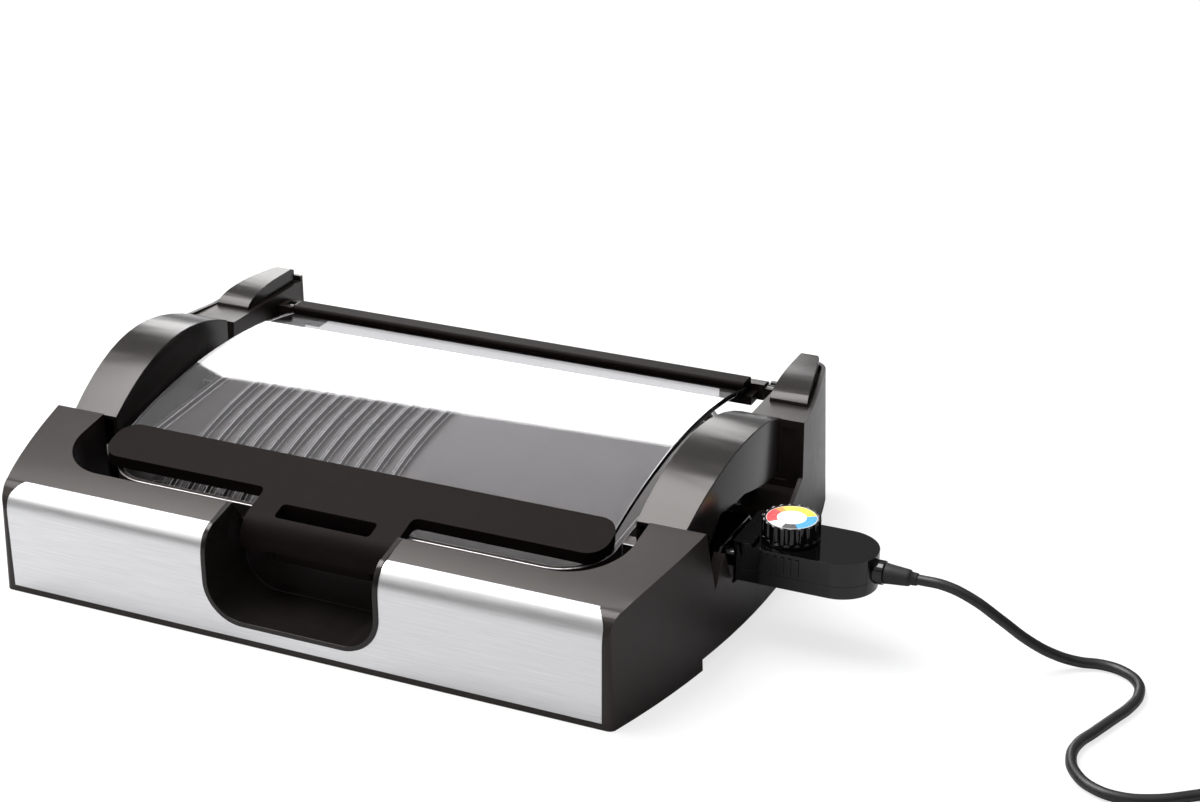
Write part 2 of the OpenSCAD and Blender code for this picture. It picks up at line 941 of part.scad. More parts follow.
module pads_plan() {
    intersection() {
        plate_plan(plate_wall + 1);
        union() {
            translate([-FAR, rib_margin])
                square([2 * FAR, pad_len]);
            translate([-FAR, plate_d - rib_margin - pad_len])
                square([2 * FAR, pad_len]);
        }
        union()
            for (x = rib_ends)
                rib_band(x, rib_w / 2 - 0.2, rib_w / 2 + pad_w);
    }
}

// Slope that leads fat from the left side to the grooves
module left_slope() {
    foot_x = -plate_w / 2 + plate_wall + slope_w;
    intersection() {
        linear_extrude(plate_h)
            plate_plan(plate_wall / 2);
        rotate([-90, 0, 0])
            mirror([0, 1, 0])
                linear_extrude(plate_d)
                    polygon([[-plate_w / 2, plate_floor - 0.5], [foot_x, plate_floor - 0.5], [foot_x, plate_floor],
                        [-plate_w / 2, plate_h - 3]]);
    }
}

element_y = 98;
element_r = element_d / 2;
element_right = 132;
element_left = -128;
cavity_x = socket_x - socket_deep;
leg_end = cavity_x - 16;

module bend(x, y, turn, r) {
    translate([x, y, 0])
        rotate([0, 0, turn])
            rotate_extrude(angle = 90)
                translate([element_bend, 0])
                    circle(r);
}

module run_y(x, y0, y1, r) {
    translate([x, y0, 0])
        rotate([-90, 0, 0])
            cylinder(r = r, h = y1 - y0);
}

// The element's path on the underside of the plate, as a bar of radius r
module element_path(r) {
    half = element_w / 2;
    leg = pin_pitch / 2;
    b = element_bend;
    translate([0, element_y, 0]) {
        for (m = [0, 1])
            mirror([0, m, 0]) {
                translate([0, leg, 0])
                    bar_x(element_right + b, leg_end, r);
                bend(element_right + b, leg + b, 180, r);
                run_y(element_right, leg + b, half - b, r);
                bend(element_right - b, half - b, 0, r);
                translate([0, half, 0])
                    bar_x(element_left + b, element_right - b, r);
                bend(element_left + b, half - b, 90, r);
            }
        run_y(element_left, b - half, half - b, r);
    }
}

lug_spots = [110, 225];
lug_w = 12;
lug_low = 64;
lug_high = 73;
lug_z = (lug_low + lug_high) / 2;
lug_bore_x = plate_w / 2 + 4;
drain_x = -150;
drain_y = 20;

module grill_plate() {
    color("#34353a")
        difference() {
            union() {
                tilted() {
                    difference() {
                        linear_extrude(plate_h)
                            plate_plan(0);
                        translate([0, 0, plate_floor])
                            linear_extrude(plate_h)
                                plate_plan(plate_wall);
                        translate([0, 0, -1])
                            linear_extrude(plate_h)
                                round_box([drain_x - 7, drain_y - 2], [drain_x + 7, drain_y + 2], 1.9);
                    }
                    translate([0, 0, plate_floor - 0.5])
                        linear_extrude(rib_h + 0.5)
                            ribs_plan();
                    translate([0, 0, plate_floor - 0.5])
                        linear_extrude(pad_h + 0.5)
                            pads_plan();
                    left_slope();
                }
                both_sides()
                    intersection() {
                        for (y = lug_spots)
                            box([plate_w / 2 - 2, y - lug_w / 2, lug_low], [FAR, y + lug_w / 2, lug_high]);
                        handle_inside(-SEAM);
                    }
            }
            tilted()
                element_path(element_r + 0.1);
            both_sides()
                for (y = lug_spots)
                    translate([0, y, lug_z])
                        bar_x(lug_bore_x, FAR, screw_r + FIT);
        }
}

module heating_element() {
    color("#55565a")
        tilted()
            element_path(element_r);
}

clip_spots = [[-80, 1], [60, 1], [-80, -1], [60, -1]];
module element_clips() {
    color("silver")
        tilted()
            for (p = clip_spots)
                translate([p[0], element_y + p[1] * element_w / 2, 0])
                    difference() {
                        union() {
                            box([-6, -12, -1.4], [6, 12, -SEAM]);
                            box([-6, -6, -element_r - 1.4], [6, 6, -SEAM]);
                        }
                        bar_x(-7, 7, element_r + 0.1);
                    }
}

// ---- Handles ----

handle_y = deck_d + 0.6;
handle_end = handle_y + handle_l;
handle_lean = 0.06;
handle_twist = 26;
handle_mid_y = 212;
handle_ref_z = 110;
peak = 1 + sqrt(1 - (handle_rear_h - handle_front_h) / (handle_mid_h - handle_front_h));

function handle_t(y) = (y - handle_y) / handle_l;
function handle_top(y) = handle_front_h
    + (handle_mid_h - handle_front_h) * (2 * peak * handle_t(y) - pow(peak * handle_t(y), 2));
function handle_in_x(y) = plate_w / 2 + handle_gap + handle_splay * handle_t(y);
function handle_top_points(drop, from, to) = [for (i = [0 : 12])
    let (y = from + (to - from) * i / 12) [y, handle_top(y) - drop]];

// Everything nearer to the middle than the handle's inner side, moved out by a distance
module handle_inside(out) {
    linear_extrude(block_high)
        polygon([[-FAR, 0], [handle_in_x(0) + out, 0], [handle_in_x(FAR) + out, FAR], [-FAR, FAR]]);
}

// The handle's outer side: a cone whose axis tips back, so that the side leans in at the front
// and stands upright at the rear
module handle_cone(inset) {
    r = handle_r * pow(cos(handle_twist), 2);
    translate([handle_x - r, handle_mid_y, handle_ref_z])
        rotate([-handle_twist, 0, 0])
            translate([0, 0, -FAR / 2])
                cylinder(
                    r1 = r - inset + handle_lean * FAR / 2,
                    r2 = r - inset - handle_lean * FAR / 2,
                    h = FAR,
                    $fn = WIDE);
}

// The handle's form between its two sides, drawn in by an inset
module handle_form(inset) {
    difference() {
        handle_cone(inset);
        handle_inside(inset);
        box([-2 * FAR, -FAR, -1], [0, 2 * FAR, block_high + 1]);
    }
}

handle_under = [
    [handle_y, flange_z + 2], [handle_y + 2.5, flange_z], [handle_y + 40, handle_arch_h],
    [handle_y + 76, handle_arch_h - 1], [handle_end, handle_rear_z]];

flange_tab = 26;
rear_foot = [246, 256];
module handle(side) {
    wall = handle_wall;
    color(black)
        on_side(side)
            difference() {
                union() {
                    difference() {
                        intersection() {
                            handle_form(0);
                            along_x(0, FAR)
                                polygon(concat(handle_under,
                                    reversed(handle_top_points(0, handle_y, handle_end))));
                        }
                        intersection() {
                            handle_form(wall);
                            along_x(0, FAR)
                                polygon(concat([[handle_y - 1, 0]],
                                    [[handle_y - 1, handle_top(handle_y) - wall]],
                                    handle_top_points(wall, handle_y, handle_end - wall),
                                    [[handle_end - wall, 0]]));
                        }
                    }
                    // Wall sunk into the front end, and the rib that stiffens it
                    intersection() {
                        handle_form(wall / 2);
                        along_x(0, FAR)
                            polygon([[handle_y + 18, flange_z + 2], [handle_y + 21, flange_z + 2],
                                [handle_y + 21, handle_top(handle_y + 21) - wall / 2],
                                [handle_y + 18, handle_top(handle_y + 18) - wall / 2]]);
                    }
                    along_x(handle_in_x(handle_y) + 8, handle_in_x(handle_y) + 10.5)
                        polygon([[handle_y + 19, flange_z], [handle_y + 17, flange_z],
                            [handle_y + 6, handle_top(handle_y + 6) - wall / 2],
                            [handle_y + 19, handle_top(handle_y + 19) - wall / 2]]);
                    // Tabs on the inner side that take the plate's lugs
                    intersection() {
                        difference() {
                            handle_inside(wall);
                            handle_inside(0);
                        }
                        union() {
                            box([0, handle_y, lug_low - 2], [FAR, handle_y + flange_tab, handle_front_h - 2]);
                            box([0, lug_spots[1] - 11, lug_low - 2], [FAR, lug_spots[1] + 11, handle_rear_h - 4]);
                            // The left one's inner side is closed down to the lugs
                            if (side < 0)
                                box([0, handle_y, lug_low - 2], [FAR, lug_spots[1] + 11, handle_front_h - 2]);
                        }
                    }
                    // Foot that stands on the post's step
                    intersection() {
                        box([post_x + 1, rear_foot[0], step_z + RUN],
                            [post_x + 12, rear_foot[1], handle_top(rear_foot[1]) - wall / 2]);
                        handle_cone(wall / 2);
                    }
                }
                for (y = lug_spots)
                    translate([0, y, lug_z])
                        bar_x(lug_bore_x, handle_in_x(y) + wall + 2, screw_r + FIT);
            }
}

module handle_left() handle(-1);
module handle_right() handle(1);

module handle_screws() {
    color("silver")
        both_sides()
            for (y = lug_spots)
                translate([0, y, lug_z]) {
                    head = handle_in_x(y) + handle_wall + 0.6;
                    bar_x(lug_bore_x + RUN, head, screw_r);
                    bar_x(head, head + 2, 3);
                }
}

// ---- Socket ----

block_x = plate_w / 2 + 0.5;
shroud_x = 196;
block_w = 40;
block_low_z = socket_z - 5.5;
block_high_z = socket_z + 6;
sleeve_ys = [socket_y - pin_pitch / 2, socket_y + pin_pitch / 2];

module chamfered(half_w, half_h, c) {
    polygon([[-half_w + c, -half_h], [half_w - c, -half_h], [half_w, -half_h + c], [half_w, half_h - c],
        [half_w - c, half_h], [-half_w + c, half_h], [-half_w, half_h - c], [-half_w, -half_h + c]]);
}

// A section drawn across the socket as [y, z] from its middle, carried along X
module across_socket(x0, x1) {
    along_x(x0, x1)
        translate([socket_y, socket_z])
            children();
}

module socket_shroud() {
    color(black)
        difference() {
            across_socket(shroud_x, socket_x)
                chamfered(socket_w / 2, socket_h / 2, 4);
            across_socket(cavity_x, socket_x + 1)
                chamfered(socket_w / 2 - socket_wall, socket_h / 2 - socket_wall, 3);
            box([shroud_x - 1, socket_y - block_w / 2 - SEAM, block_low_z - SEAM],
                [cavity_x + 1, socket_y + block_w / 2 + SEAM, block_high_z + SEAM]);
        }
}

module terminal_block() {
    color("#e6e1d6")
        difference() {
            box([block_x, socket_y - block_w / 2, block_low_z],
                [cavity_x, socket_y + block_w / 2, block_high_z]);
            tilted()
                element_path(element_r + 0.1);
            for (y = sleeve_ys)
                translate([0, y, socket_z])
                    bar_x(leg_end + SEAM, cavity_x + 1, pin_d / 2 + FIT);
            translate([0, socket_y, socket_z])
                bar_x(block_x - 1, cavity_x + 1, probe_d / 2 + RUN);
        }
}

// Tips inside the mouth
pin_inset = 2;
pin_l = socket_x - pin_inset - leg_end;
module terminal_pins() {
    color("silver")
        for (y = sleeve_ys)
            translate([0, y, socket_z])
                bar_x(leg_end + SEAM, leg_end + pin_l, pin_d / 2);
}

// ---- Lid ----

bar_slope = 17;
bar_gap = 1;
// Front edge of the plate's rim, which the bar clears
rim_y = plate_y - plate_h * sin(plate_tilt);
rim_z = plate_z + plate_h * cos(plate_tilt);
function bar_under(y) = rim_z + bar_gap + tan(bar_slope) * (y - rim_y);
function bar_top(y) = bar_under(y) + bar_t;
glass_z = rim_z + glass_rise;

module glass_arc(r_out, r_in, from, to) {
    intersection() {
        translate([glass_top_y, glass_z - glass_r])
            difference() {
                circle(r_out, $fn = WIDE);
                circle(r_in, $fn = WIDE);
            }
        translate([from, 0])
            square([to - from, FAR]);
    }
}

glass_grip = 16;
glass_front = bar_y + bar_d - glass_grip;
glass_rear = rear_bar_y + 8;

module lid_glass() {
    color([0.8, 0.88, 0.88, 0.4])
        along_x(-glass_w / 2, glass_w / 2)
            glass_arc(glass_r, glass_r - glass_t, glass_front, glass_rear);
}

module glass_slot(from, to) {
    along_x(-glass_w / 2 - SEAM, glass_w / 2 + SEAM)
        glass_arc(glass_r + 0.1, glass_r - glass_t - 0.1, from, to);
}

nose_r = 18;
nose_t = 3.5;
nose_y = grip_y + nose_r;
nose_z = bar_top(nose_y) - nose_r / cos(bar_slope);
grip_fillet = 5;
slot_y = [43, 56];

// The handle's section: the sloping top and the rolled nose
module grip_section() {
    roll_end = [for (a = [90 + bar_slope : 8 : 180]) a];
    polygon(concat(
        [[bar_y + 1, bar_top(bar_y + 1)]],
        [for (a = concat(roll_end, [180])) [nose_y + nose_r * cos(a), nose_z + nose_r * sin(a)]],
        [[grip_y, grip_z], [grip_y + nose_t, grip_z]],
        [for (a = reversed(concat(roll_end, [180])))
            [nose_y + (nose_r - nose_t) * cos(a), nose_z + (nose_r - nose_t) * sin(a)]],
        [[nose_y, bar_under(nose_y)], [bar_y + 1, bar_under(bar_y + 1)]]));
}

module lid_front_bar() {
    color(black)
        difference() {
            union() {
                intersection() {
                    along_x(-bar_w / 2, bar_w / 2)
                        polygon([[bar_y, bar_top(bar_y)], [bar_y + bar_d, bar_top(bar_y + bar_d)],
                            [bar_y + bar_d, bar_under(bar_y + bar_d)], [bar_y, bar_under(bar_y)]]);
                    linear_extrude(FAR)
                        round_box([-bar_w / 2, bar_y], [bar_w / 2, bar_y + bar_d], 14);
                }
                along_x(-grip_w / 2, grip_w / 2)
                    grip_section();
                intersection() {
                    along_x()
                        polygon([[nose_y, bar_top(nose_y)], [bar_y + 1, bar_top(bar_y + 1)],
                            [bar_y + 1, bar_under(bar_y + 1)], [nose_y, bar_under(nose_y)]]);
                    linear_extrude(FAR)
                        both_sides()
                            difference() {
                                translate([grip_w / 2 - 1, bar_y - grip_fillet])
                                    square([grip_fillet + 1, grip_fillet + 1]);
                                translate([grip_w / 2 + grip_fillet, bar_y - grip_fillet])
                                    circle(grip_fillet);
                            }
                }
            }
            glass_slot(glass_front - SEAM, FAR);
            linear_extrude(FAR)
                round_box([-slot_w / 2, slot_y[0]], [slot_w / 2, slot_y[1]], 3);
        }
}

tub_wall = 2.3;
tub_z = 43;
module tub_block(inset, bottom) {
    intersection() {
        translate([0, 0, bottom])
            linear_extrude(FAR)
                round_box([-slot_w / 2 - tub_wall + inset, slot_y[0] - tub_wall + inset],
                    [slot_w / 2 + tub_wall - inset, slot_y[1] + tub_wall - inset], 4 - inset / 2);
        along_x()
            polygon([[20, 0], [20, bar_under(20) - SEAM], [80, bar_under(80) - SEAM], [80, 0]]);
    }
}

module finger_tub() {
    color("#262626")
        difference() {
            tub_block(0, tub_z);
            translate([0, 0, 1])
                tub_block(tub_wall, tub_z + tub_wall);
        }
}

// Bottom of the rear bar, a little below the glass's rear edge
rear_bar_z = glass_z - glass_r + sqrt(pow(glass_r - glass_t, 2) - pow(glass_rear - glass_top_y, 2)) - 1.2;
module lid_rear_bar() {
    color(black)
        difference() {
            along_x(-glass_w / 2, glass_w / 2)
                round_box([rear_bar_y, rear_bar_z], [rear_bar_y + rear_bar_d, rear_bar_z + rear_bar_h], 2.5);
            glass_slot(0, glass_rear + SEAM);
            for (s = [-1, 1])
                for (dx = [-5, 5])
                    translate([s * arm_mid_x + dx, rear_bar_y + rear_bar_d - 4, rear_bar_z - 1])
                        cylinder(r = screw_r + FIT, h = 7);
        }
}

arm_x = [glass_w / 2 - 20, post_x - socket_block_l - 1];
arm_mid_x = glass_w / 2 - 10;
arm_r = 6;
arm_bottom = hinge_z - arm_r;
pin_start = arm_x[1] - 12;
module hinge_arm(side) {
    bar_back = rear_bar_y + rear_bar_d;
    color(black)
        on_side(side)
            difference() {
                union() {
                    box([arm_x[0], rear_bar_y + 4, arm_bottom], [arm_x[1] - 5, hinge_y, rear_bar_z - SEAM]);
                    box([arm_x[0], bar_back + SEAM, arm_bottom], [arm_x[1], hinge_y, hinge_z + arm_r]);
                    translate([0, hinge_y, hinge_z])
                        bar_x(arm_x[0], arm_x[1], arm_r);
                }
                translate([0, hinge_y, hinge_z])
                    bar_x(pin_start - RUN, FAR, hinge_pin_r + FIT);
                for (dx = [-5, 5])
                    translate([arm_mid_x + dx, bar_back - 4, 0])
                        cylinder(r = screw_r + FIT, h = FAR);
            }
}

module hinge_arm_left() hinge_arm(-1);
module hinge_arm_right() hinge_arm(1);

module hinge_pin(side) {
    color("silver")
        on_side(side)
            translate([0, hinge_y, hinge_z])
                bar_x(pin_start, pin_end, hinge_pin_r);
}

module hinge_pin_left() hinge_pin(-1);
module hinge_pin_right() hinge_pin(1);

module lid_bumpers() {
    color("#333333")
        difference() {
            tilted()
                both_sides()
                    box([plate_w / 2 - plate_wall + 0.5, plate_r - 7, plate_h + RUN],
                        [plate_w / 2 - 0.5, plate_r - 1, plate_h + 20]);
            along_x()
                polygon([[0, bar_under(0) - SEAM], [120, bar_under(120) - SEAM], [120, FAR], [0, FAR]]);
        }
}

module lid_screws() {
    color("silver")
        for (s = [-1, 1])
            for (dx = [-5, 5])
                translate([s * arm_mid_x + dx, rear_bar_y + rear_bar_d - 4, arm_bottom - 1.6])
                    screw(screw_r, 12, 2.8);
}

// ---- Thermostat ----

case_x = socket_x + case_gap;
case_low = socket_z - case_h / 2;
case_top = case_low + case_h;
part_z = case_low + 8.5;
knob_mid = case_x + knob_x;
knob_low = case_top + 0.5;
block_front_l = 13;
front_block_h = 2.5;

// The case in plan, square at the plug end and round at the cord end
module case_plan(inset = 0) {
    r = case_w / 2;
    intersection() {
        union() {
            translate([case_x + inset, socket_y - r + inset])
                square([case_l - r - inset, case_w - 2 * inset]);
            translate([case_x + case_l - r, socket_y])
                circle(r - inset);
        }
        translate([case_x, socket_y - r])
            round_box([0, 0], [case_l * 2, case_w], 3);
    }
}

module case_slab(inset, from, to) {
    translate([0, 0, from])
        linear_extrude(to - from)
            case_plan(inset);
}

screw_spots = [for (s = [-1, 1]) [case_x + 13, socket_y + s * (case_w / 2 - 5.5)],
    [case_x + case_l - 12, socket_y]];
module case_openings() {
    for (y = sleeve_ys)
        translate([0, y, socket_z])
            bar_x(case_x - 1, case_x + case_wall + 1, prong_d / 2 + FIT);
    translate([0, socket_y, socket_z]) {
        bar_x(case_x - 1, case_x + case_wall + 1, bush_r + FIT);
        bar_x(case_x + case_l - case_wall - 2, case_x + case_l + 1, collar_r + FIT);
    }
}

module thermostat_lower_case() {
    color(black)
        difference() {
            case_slab(0, case_low, part_z);
            difference() {
                case_slab(case_wall, case_low + case_wall, part_z + 1);
                for (p = screw_spots)
                    translate([p[0], p[1], 0])
                        cylinder(r = 4, h = FAR);
            }
            case_openings();
            for (p = screw_spots) {
                translate([p[0], p[1], 0])
                    cylinder(r = screw_r + FIT, h = FAR);
                translate([p[0], p[1], case_low - 1])
                    cylinder(r = 3, h = 3);
            }
        }
}

grip_xs = [for (i = [0 : 5]) knob_mid - 12 + i * 5];
module thermostat_upper_case() {
    color(black)
        difference() {
            union() {
                case_slab(0, part_z + SEAM, case_top);
                intersection() {
                    case_slab(0, case_top - 1, case_top + front_block_h);
                    box([case_x, 0, 0], [case_x + block_front_l, FAR, FAR]);
                }
                for (x = grip_xs)
                    box([x - 1.1, socket_y - case_w / 2 - 0.9, part_z + 2],
                        [x + 1.1, socket_y + case_w / 2 + 0.9, case_top - 2.5]);
            }
            translate([knob_mid, socket_y, case_top])
                cylinder(r = knob_d / 2 + 1, h = 10);
            difference() {
                case_slab(case_wall, 0, case_top - case_wall);
                for (p = screw_spots)
                    translate([p[0], p[1], 0])
                        cylinder(r = 4, h = FAR);
            }
            case_openings();
            for (p = screw_spots)
                translate([p[0], p[1], 0])
                    cylinder(r = screw_r + FIT, h = case_low + 14);
            translate([knob_mid, socket_y, 0])
                cylinder(r = shaft_r + FIT, h = FAR);
        }
}

contact_r = pin_d / 2 + 1.6;
sleeve_x = case_x - prong_l;
module prong_sleeves() {
    color(black)
        for (y = sleeve_ys)
            translate([0, y, socket_z])
                difference() {
                    bar_x(sleeve_x, case_x + case_wall + 2, prong_d / 2);
                    bar_x(sleeve_x - 1, case_x + case_wall + 3, contact_r + FIT);
                }
}

module contact_tubes() {
    color("silver")
        for (y = sleeve_ys)
            translate([0, y, socket_z])
                difference() {
                    bar_x(sleeve_x + 1, case_x + case_wall + 3, contact_r);
                    bar_x(sleeve_x, case_x + case_wall + 4, pin_d / 2 + FIT);
                }
}

bush_r = 6;
module probe() {
    color("silver")
        translate([0, socket_y, socket_z]) {
            translate([case_x - probe_l, 0, 0])
                rotate([0, 90, 0])
                    cylinder(r1 = probe_d / 2 - 1, r2 = probe_d / 2, h = 2);
            bar_x(case_x - probe_l + 2, case_x + 8, probe_d / 2);
        }
}

module probe_bush() {
    color("#8a8a8a")
        translate([0, socket_y, socket_z])
            difference() {
                bar_x(case_x - 2, case_x + 6, bush_r);
                bar_x(case_x - 3, case_x + 7, probe_d / 2 + FIT);
            }
}

shaft_r = 3;
module switch_block() {
    color("#d8d4c8")
        difference() {
            box([case_x + 10, socket_y - 13, case_low + case_wall + SEAM],
                [case_x + 50, socket_y + 13, case_top - case_wall - SEAM]);
            translate([knob_mid, socket_y, case_top - 12])
                cylinder(r = shaft_r + FIT, h = FAR);
        }
}

module case_screws() {
    color("silver")
        for (p = screw_spots)
            translate([p[0], p[1], case_low + 0.4])
                screw(screw_r, 12, 2.8);
}

dial_r = knob_d / 2 - 2.5;
dial_depth = 1.2;
scallop_r = 2;
module knob() {
    color(black)
        difference() {
            translate([knob_mid, socket_y, knob_low])
                cylinder(d = knob_d, h = knob_h);
            for (i = [1 : scallop_count])
                translate([knob_mid, socket_y, knob_low + 2])
                    rotate([0, 0, 360 * i / scallop_count])
                        translate([knob_d / 2 + 0.6, 0, 0])
                            cylinder(r = scallop_r, h = knob_h, $fn = 24);
            translate([knob_mid, socket_y, knob_low + knob_h - dial_depth])
                cylinder(r = dial_r, h = 5);
            translate([knob_mid, socket_y, knob_low - 1])
                cylinder(r = shaft_r + FIT, h = 8);
        }
}

module knob_shaft() {
    color("silver")
        translate([knob_mid, socket_y, case_top - 11])
            cylinder(r = shaft_r, h = knob_low - case_top + 11 + 6.5);
}

module dial_disc() {
    color("red")
        translate([knob_mid, socket_y, knob_low + knob_h - dial_depth])
            cylinder(r = dial_r - 0.2, h = dial_depth - 0.3);
}

// ---- Cord ----

collar_r = 8;
collar_l = 9;
relief_l = 22;
cord_r = cord_d / 2;
cord_x = case_x + case_l + 5;
relief_end = cord_x + relief_l;

module cord_collar() {
    color(black)
        translate([0, socket_y, socket_z])
            difference() {
                bar_x(cord_x - collar_l, cord_x, collar_r);
                bar_x(cord_x - collar_l - 1, cord_x + 1, cord_r + FIT + 1);
            }
}

module strain_relief() {
    color("#222222")
        translate([cord_x, socket_y, socket_z])
            rotate([0, 90, 0])
                cylinder(r1 = collar_r - 1, r2 = cord_r + 1, h = relief_l);
}

// Middle line of the cord from the strain relief to the coil
cord_points = [
    [relief_end, socket_y, socket_z], [388, socket_y, 59.5], [405, 160, 53], [423, 166, 39], [440, 175, 23],
    [456, 185, 11], [470, 193, 5], [484, 198, cord_r], [498, 195, cord_r], [509, 185, cord_r],
    [513, 170, cord_r], [511, 154, cord_r], [504, 134, cord_r], [497, 115, cord_r], [491, 98, cord_r],
    [491, 81, cord_r], [498, 65, cord_r], [511, 54, cord_r], [527, 51, cord_r], [544, 56, cord_r],
    [561, 67, cord_r], [578, 82, cord_r], [592, 103, cord_r], [597.5, 130, cord_r]
];

coil_mid = [637, 130];
coil_h = 2 * cord_d;
plug_x = 684;
plug_y = 84;
plug_z = 9;
tail_points = [
    [coil_mid[0] + coil_d / 2, coil_mid[1], 7], [678, 118, 7.5], [682, 106, 8], [plug_x, plug_y + 10, plug_z],
    [plug_x, plug_y, plug_z]
];
coil_sides = 10;

function unit(v) = v / norm(v);
function along(points, i) = unit(points[min(i + 1, len(points) - 1)] - points[max(i - 1, 0)]);
function ring(points, i, r) =
    let (t = along(points, i), u = unit(cross([0, 0, 1], t)), v = cross(t, u))
    [for (k = [0 : coil_sides - 1])
        let (a = 360 * k / coil_sides) points[i] + r * (cos(a) * u + sin(a) * v)];

// A round tube along a line of points
module tube(points, r) {
    n = len(points);
    m = coil_sides;
    polyhedron(
        [for (i = [0 : n - 1]) each ring(points, i, r)],
        concat(
            [[for (k = [0 : m - 1]) k]],
            [for (i = [0 : n - 2]) for (k = [0 : m - 1])
                [i * m + k, (i + 1) * m + k, (i + 1) * m + (k + 1) % m, i * m + (k + 1) % m]],
            [[for (k = [m - 1 : -1 : 0]) (n - 1) * m + k]]),
        convexity = 8);
}

module cord() {
    color(black)
        tube(cord_points, cord_r);
}

module cord_coil() {
    color(black)
        translate([coil_mid[0], coil_mid[1], 0])
            rotate_extrude()
                round_box([coil_d / 2 - cord_d, 0], [coil_d / 2 + cord_d, coil_h], cord_r);
}

module cord_tail() {
    color(black)
        tube(tail_points, cord_r);
}

tie_w = 6;
tie_t = 1;
// A strap over the coil's turns, with both ends on the table
module cord_tie() {
    inner = coil_d / 2 - cord_d - SEAM;
    outer = coil_d / 2 + cord_d + SEAM;
    color("#333333")
        translate([coil_mid[0] - tie_w / 2, coil_mid[1], 0])
            difference() {
                box([0, inner - tie_t, 0], [tie_w, outer + tie_t, coil_h + SEAM + tie_t]);
                box([-1, inner, -1], [tie_w + 1, outer, coil_h + SEAM]);
            }
}

plug_l = 38;
module plug_body() {
    color(black)
        translate([plug_x, plug_y, plug_z])
            rotate([90, 0, 0]) {
                linear_extrude(plug_l)
                    round_box([-17, -8], [17, 8], 7.5);
            }
}

module plug_pins() {
    color("silver")
        for (s = [-1, 1])
            translate([plug_x + s * 9.5, plug_y - plug_l, plug_z])
                rotate([90, 0, 0])
                    cylinder(d = 4.8, h = 19);
}

base_shell();
front_panel();
handle_pocket();
tray_frame();
base_screws();
rear_post_left();
rear_post_right();
post_cap_left();
post_cap_right();
hinge_socket_left();
hinge_socket_right();
foot_front_left();
foot_front_right();
foot_rear_left();
foot_rear_right();
drip_tray();
grill_plate();
heating_element();
element_clips();
handle_left();
handle_right();
handle_screws();
socket_shroud();
terminal_block();
terminal_pins();
lid_glass();
lid_front_bar();
finger_tub();
lid_rear_bar();
hinge_arm_left();
hinge_arm_right();
hinge_pin_left();
hinge_pin_right();
lid_bumpers();
lid_screws();
thermostat_lower_case();
thermostat_upper_case();
prong_sleeves();
contact_tubes();
probe();
probe_bush();
switch_block();
case_screws();
knob();
knob_shaft();
dial_disc();
cord_collar();
strain_relief();
cord();
cord_coil();
cord_tail();
cord_tie();
plug_body();
plug_pins();
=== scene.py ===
"""Looks for an electric table grill: a base, a tray, a cast plate and a hinged glass lid."""

from __future__ import annotations

import logging
import math
from collections.abc import Iterable, Sequence
from dataclasses import dataclass
from enum import Enum
from typing import Any

import bpy
from mathutils import Matrix, Vector

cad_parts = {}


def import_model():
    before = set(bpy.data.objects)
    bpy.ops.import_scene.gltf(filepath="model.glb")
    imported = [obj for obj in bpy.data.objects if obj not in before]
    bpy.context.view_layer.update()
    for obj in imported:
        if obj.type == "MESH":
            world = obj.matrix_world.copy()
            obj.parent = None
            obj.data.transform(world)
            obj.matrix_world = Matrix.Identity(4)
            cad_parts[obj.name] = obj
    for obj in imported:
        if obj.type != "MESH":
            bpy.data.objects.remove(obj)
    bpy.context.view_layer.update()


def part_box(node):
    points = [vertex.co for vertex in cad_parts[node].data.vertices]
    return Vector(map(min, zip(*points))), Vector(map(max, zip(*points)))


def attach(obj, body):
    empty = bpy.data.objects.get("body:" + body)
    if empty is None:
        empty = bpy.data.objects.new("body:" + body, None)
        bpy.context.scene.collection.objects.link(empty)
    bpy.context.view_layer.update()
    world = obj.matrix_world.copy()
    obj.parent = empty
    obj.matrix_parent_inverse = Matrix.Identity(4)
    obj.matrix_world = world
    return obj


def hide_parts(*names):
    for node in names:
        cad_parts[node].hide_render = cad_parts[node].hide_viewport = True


LOG = logging.getLogger("table_grill")
MM = 0.001
# Edges that turn by more than this many degrees are broken, and given a painted highlight where one
# is painted
BROKEN_EDGE = 24.0
HIGHLIGHT_EDGE_TURN = 50.0
# Edges that turn by less than this many degrees shade smooth
SMOOTH_EDGE = 32.0
EDGE_STEPS = 3
# Points nearer than this are one point, in millimetres
WELD = 0.02
# How much a face's size counts against its corners' angles in its shading, out of 100
FACE_WEIGHT = 80
# Noise values that a mottle's two colours stand at, and those that the roughness runs between
MOTTLE_STOPS = (0.3, 0.75)
ROUGHNESS_STOPS = (0.25, 0.75)
LEAST_ROUGHNESS = 0.02
Point = tuple[float, float, float]
Ring = list[Point]
Skin = tuple[Sequence[Point], Sequence[Sequence[int]]]


class Edge(Enum):
    """How a piece's edges were made, by their radius in millimetres."""

    CLEAN = 0.0
    STAMPED = 0.3
    CRISP = 0.5
    # The plate's edges, which carry a painted highlight
    HIGHLIGHT_BEVEL = 0.6
    MOULDED = 0.9
    SOFT = 1.6


# --------------------------------------------------------------------------- colour and nodes


def linear(code: str) -> tuple[float, float, float, float]:
    """Turns an sRGB hex colour to linear.

    Args:
        code: the colour, as six hex digits after a hash.

    Returns:
        Red, green, blue and an alpha of 1.
    """
    parts = [int(code[i : i + 2], 16) / 255 for i in (1, 3, 5)]
    r, g, b = (c / 12.92 if c <= 0.04045 else ((c + 0.055) / 1.055) ** 2.4 for c in parts)
    return (r, g, b, 1.0)


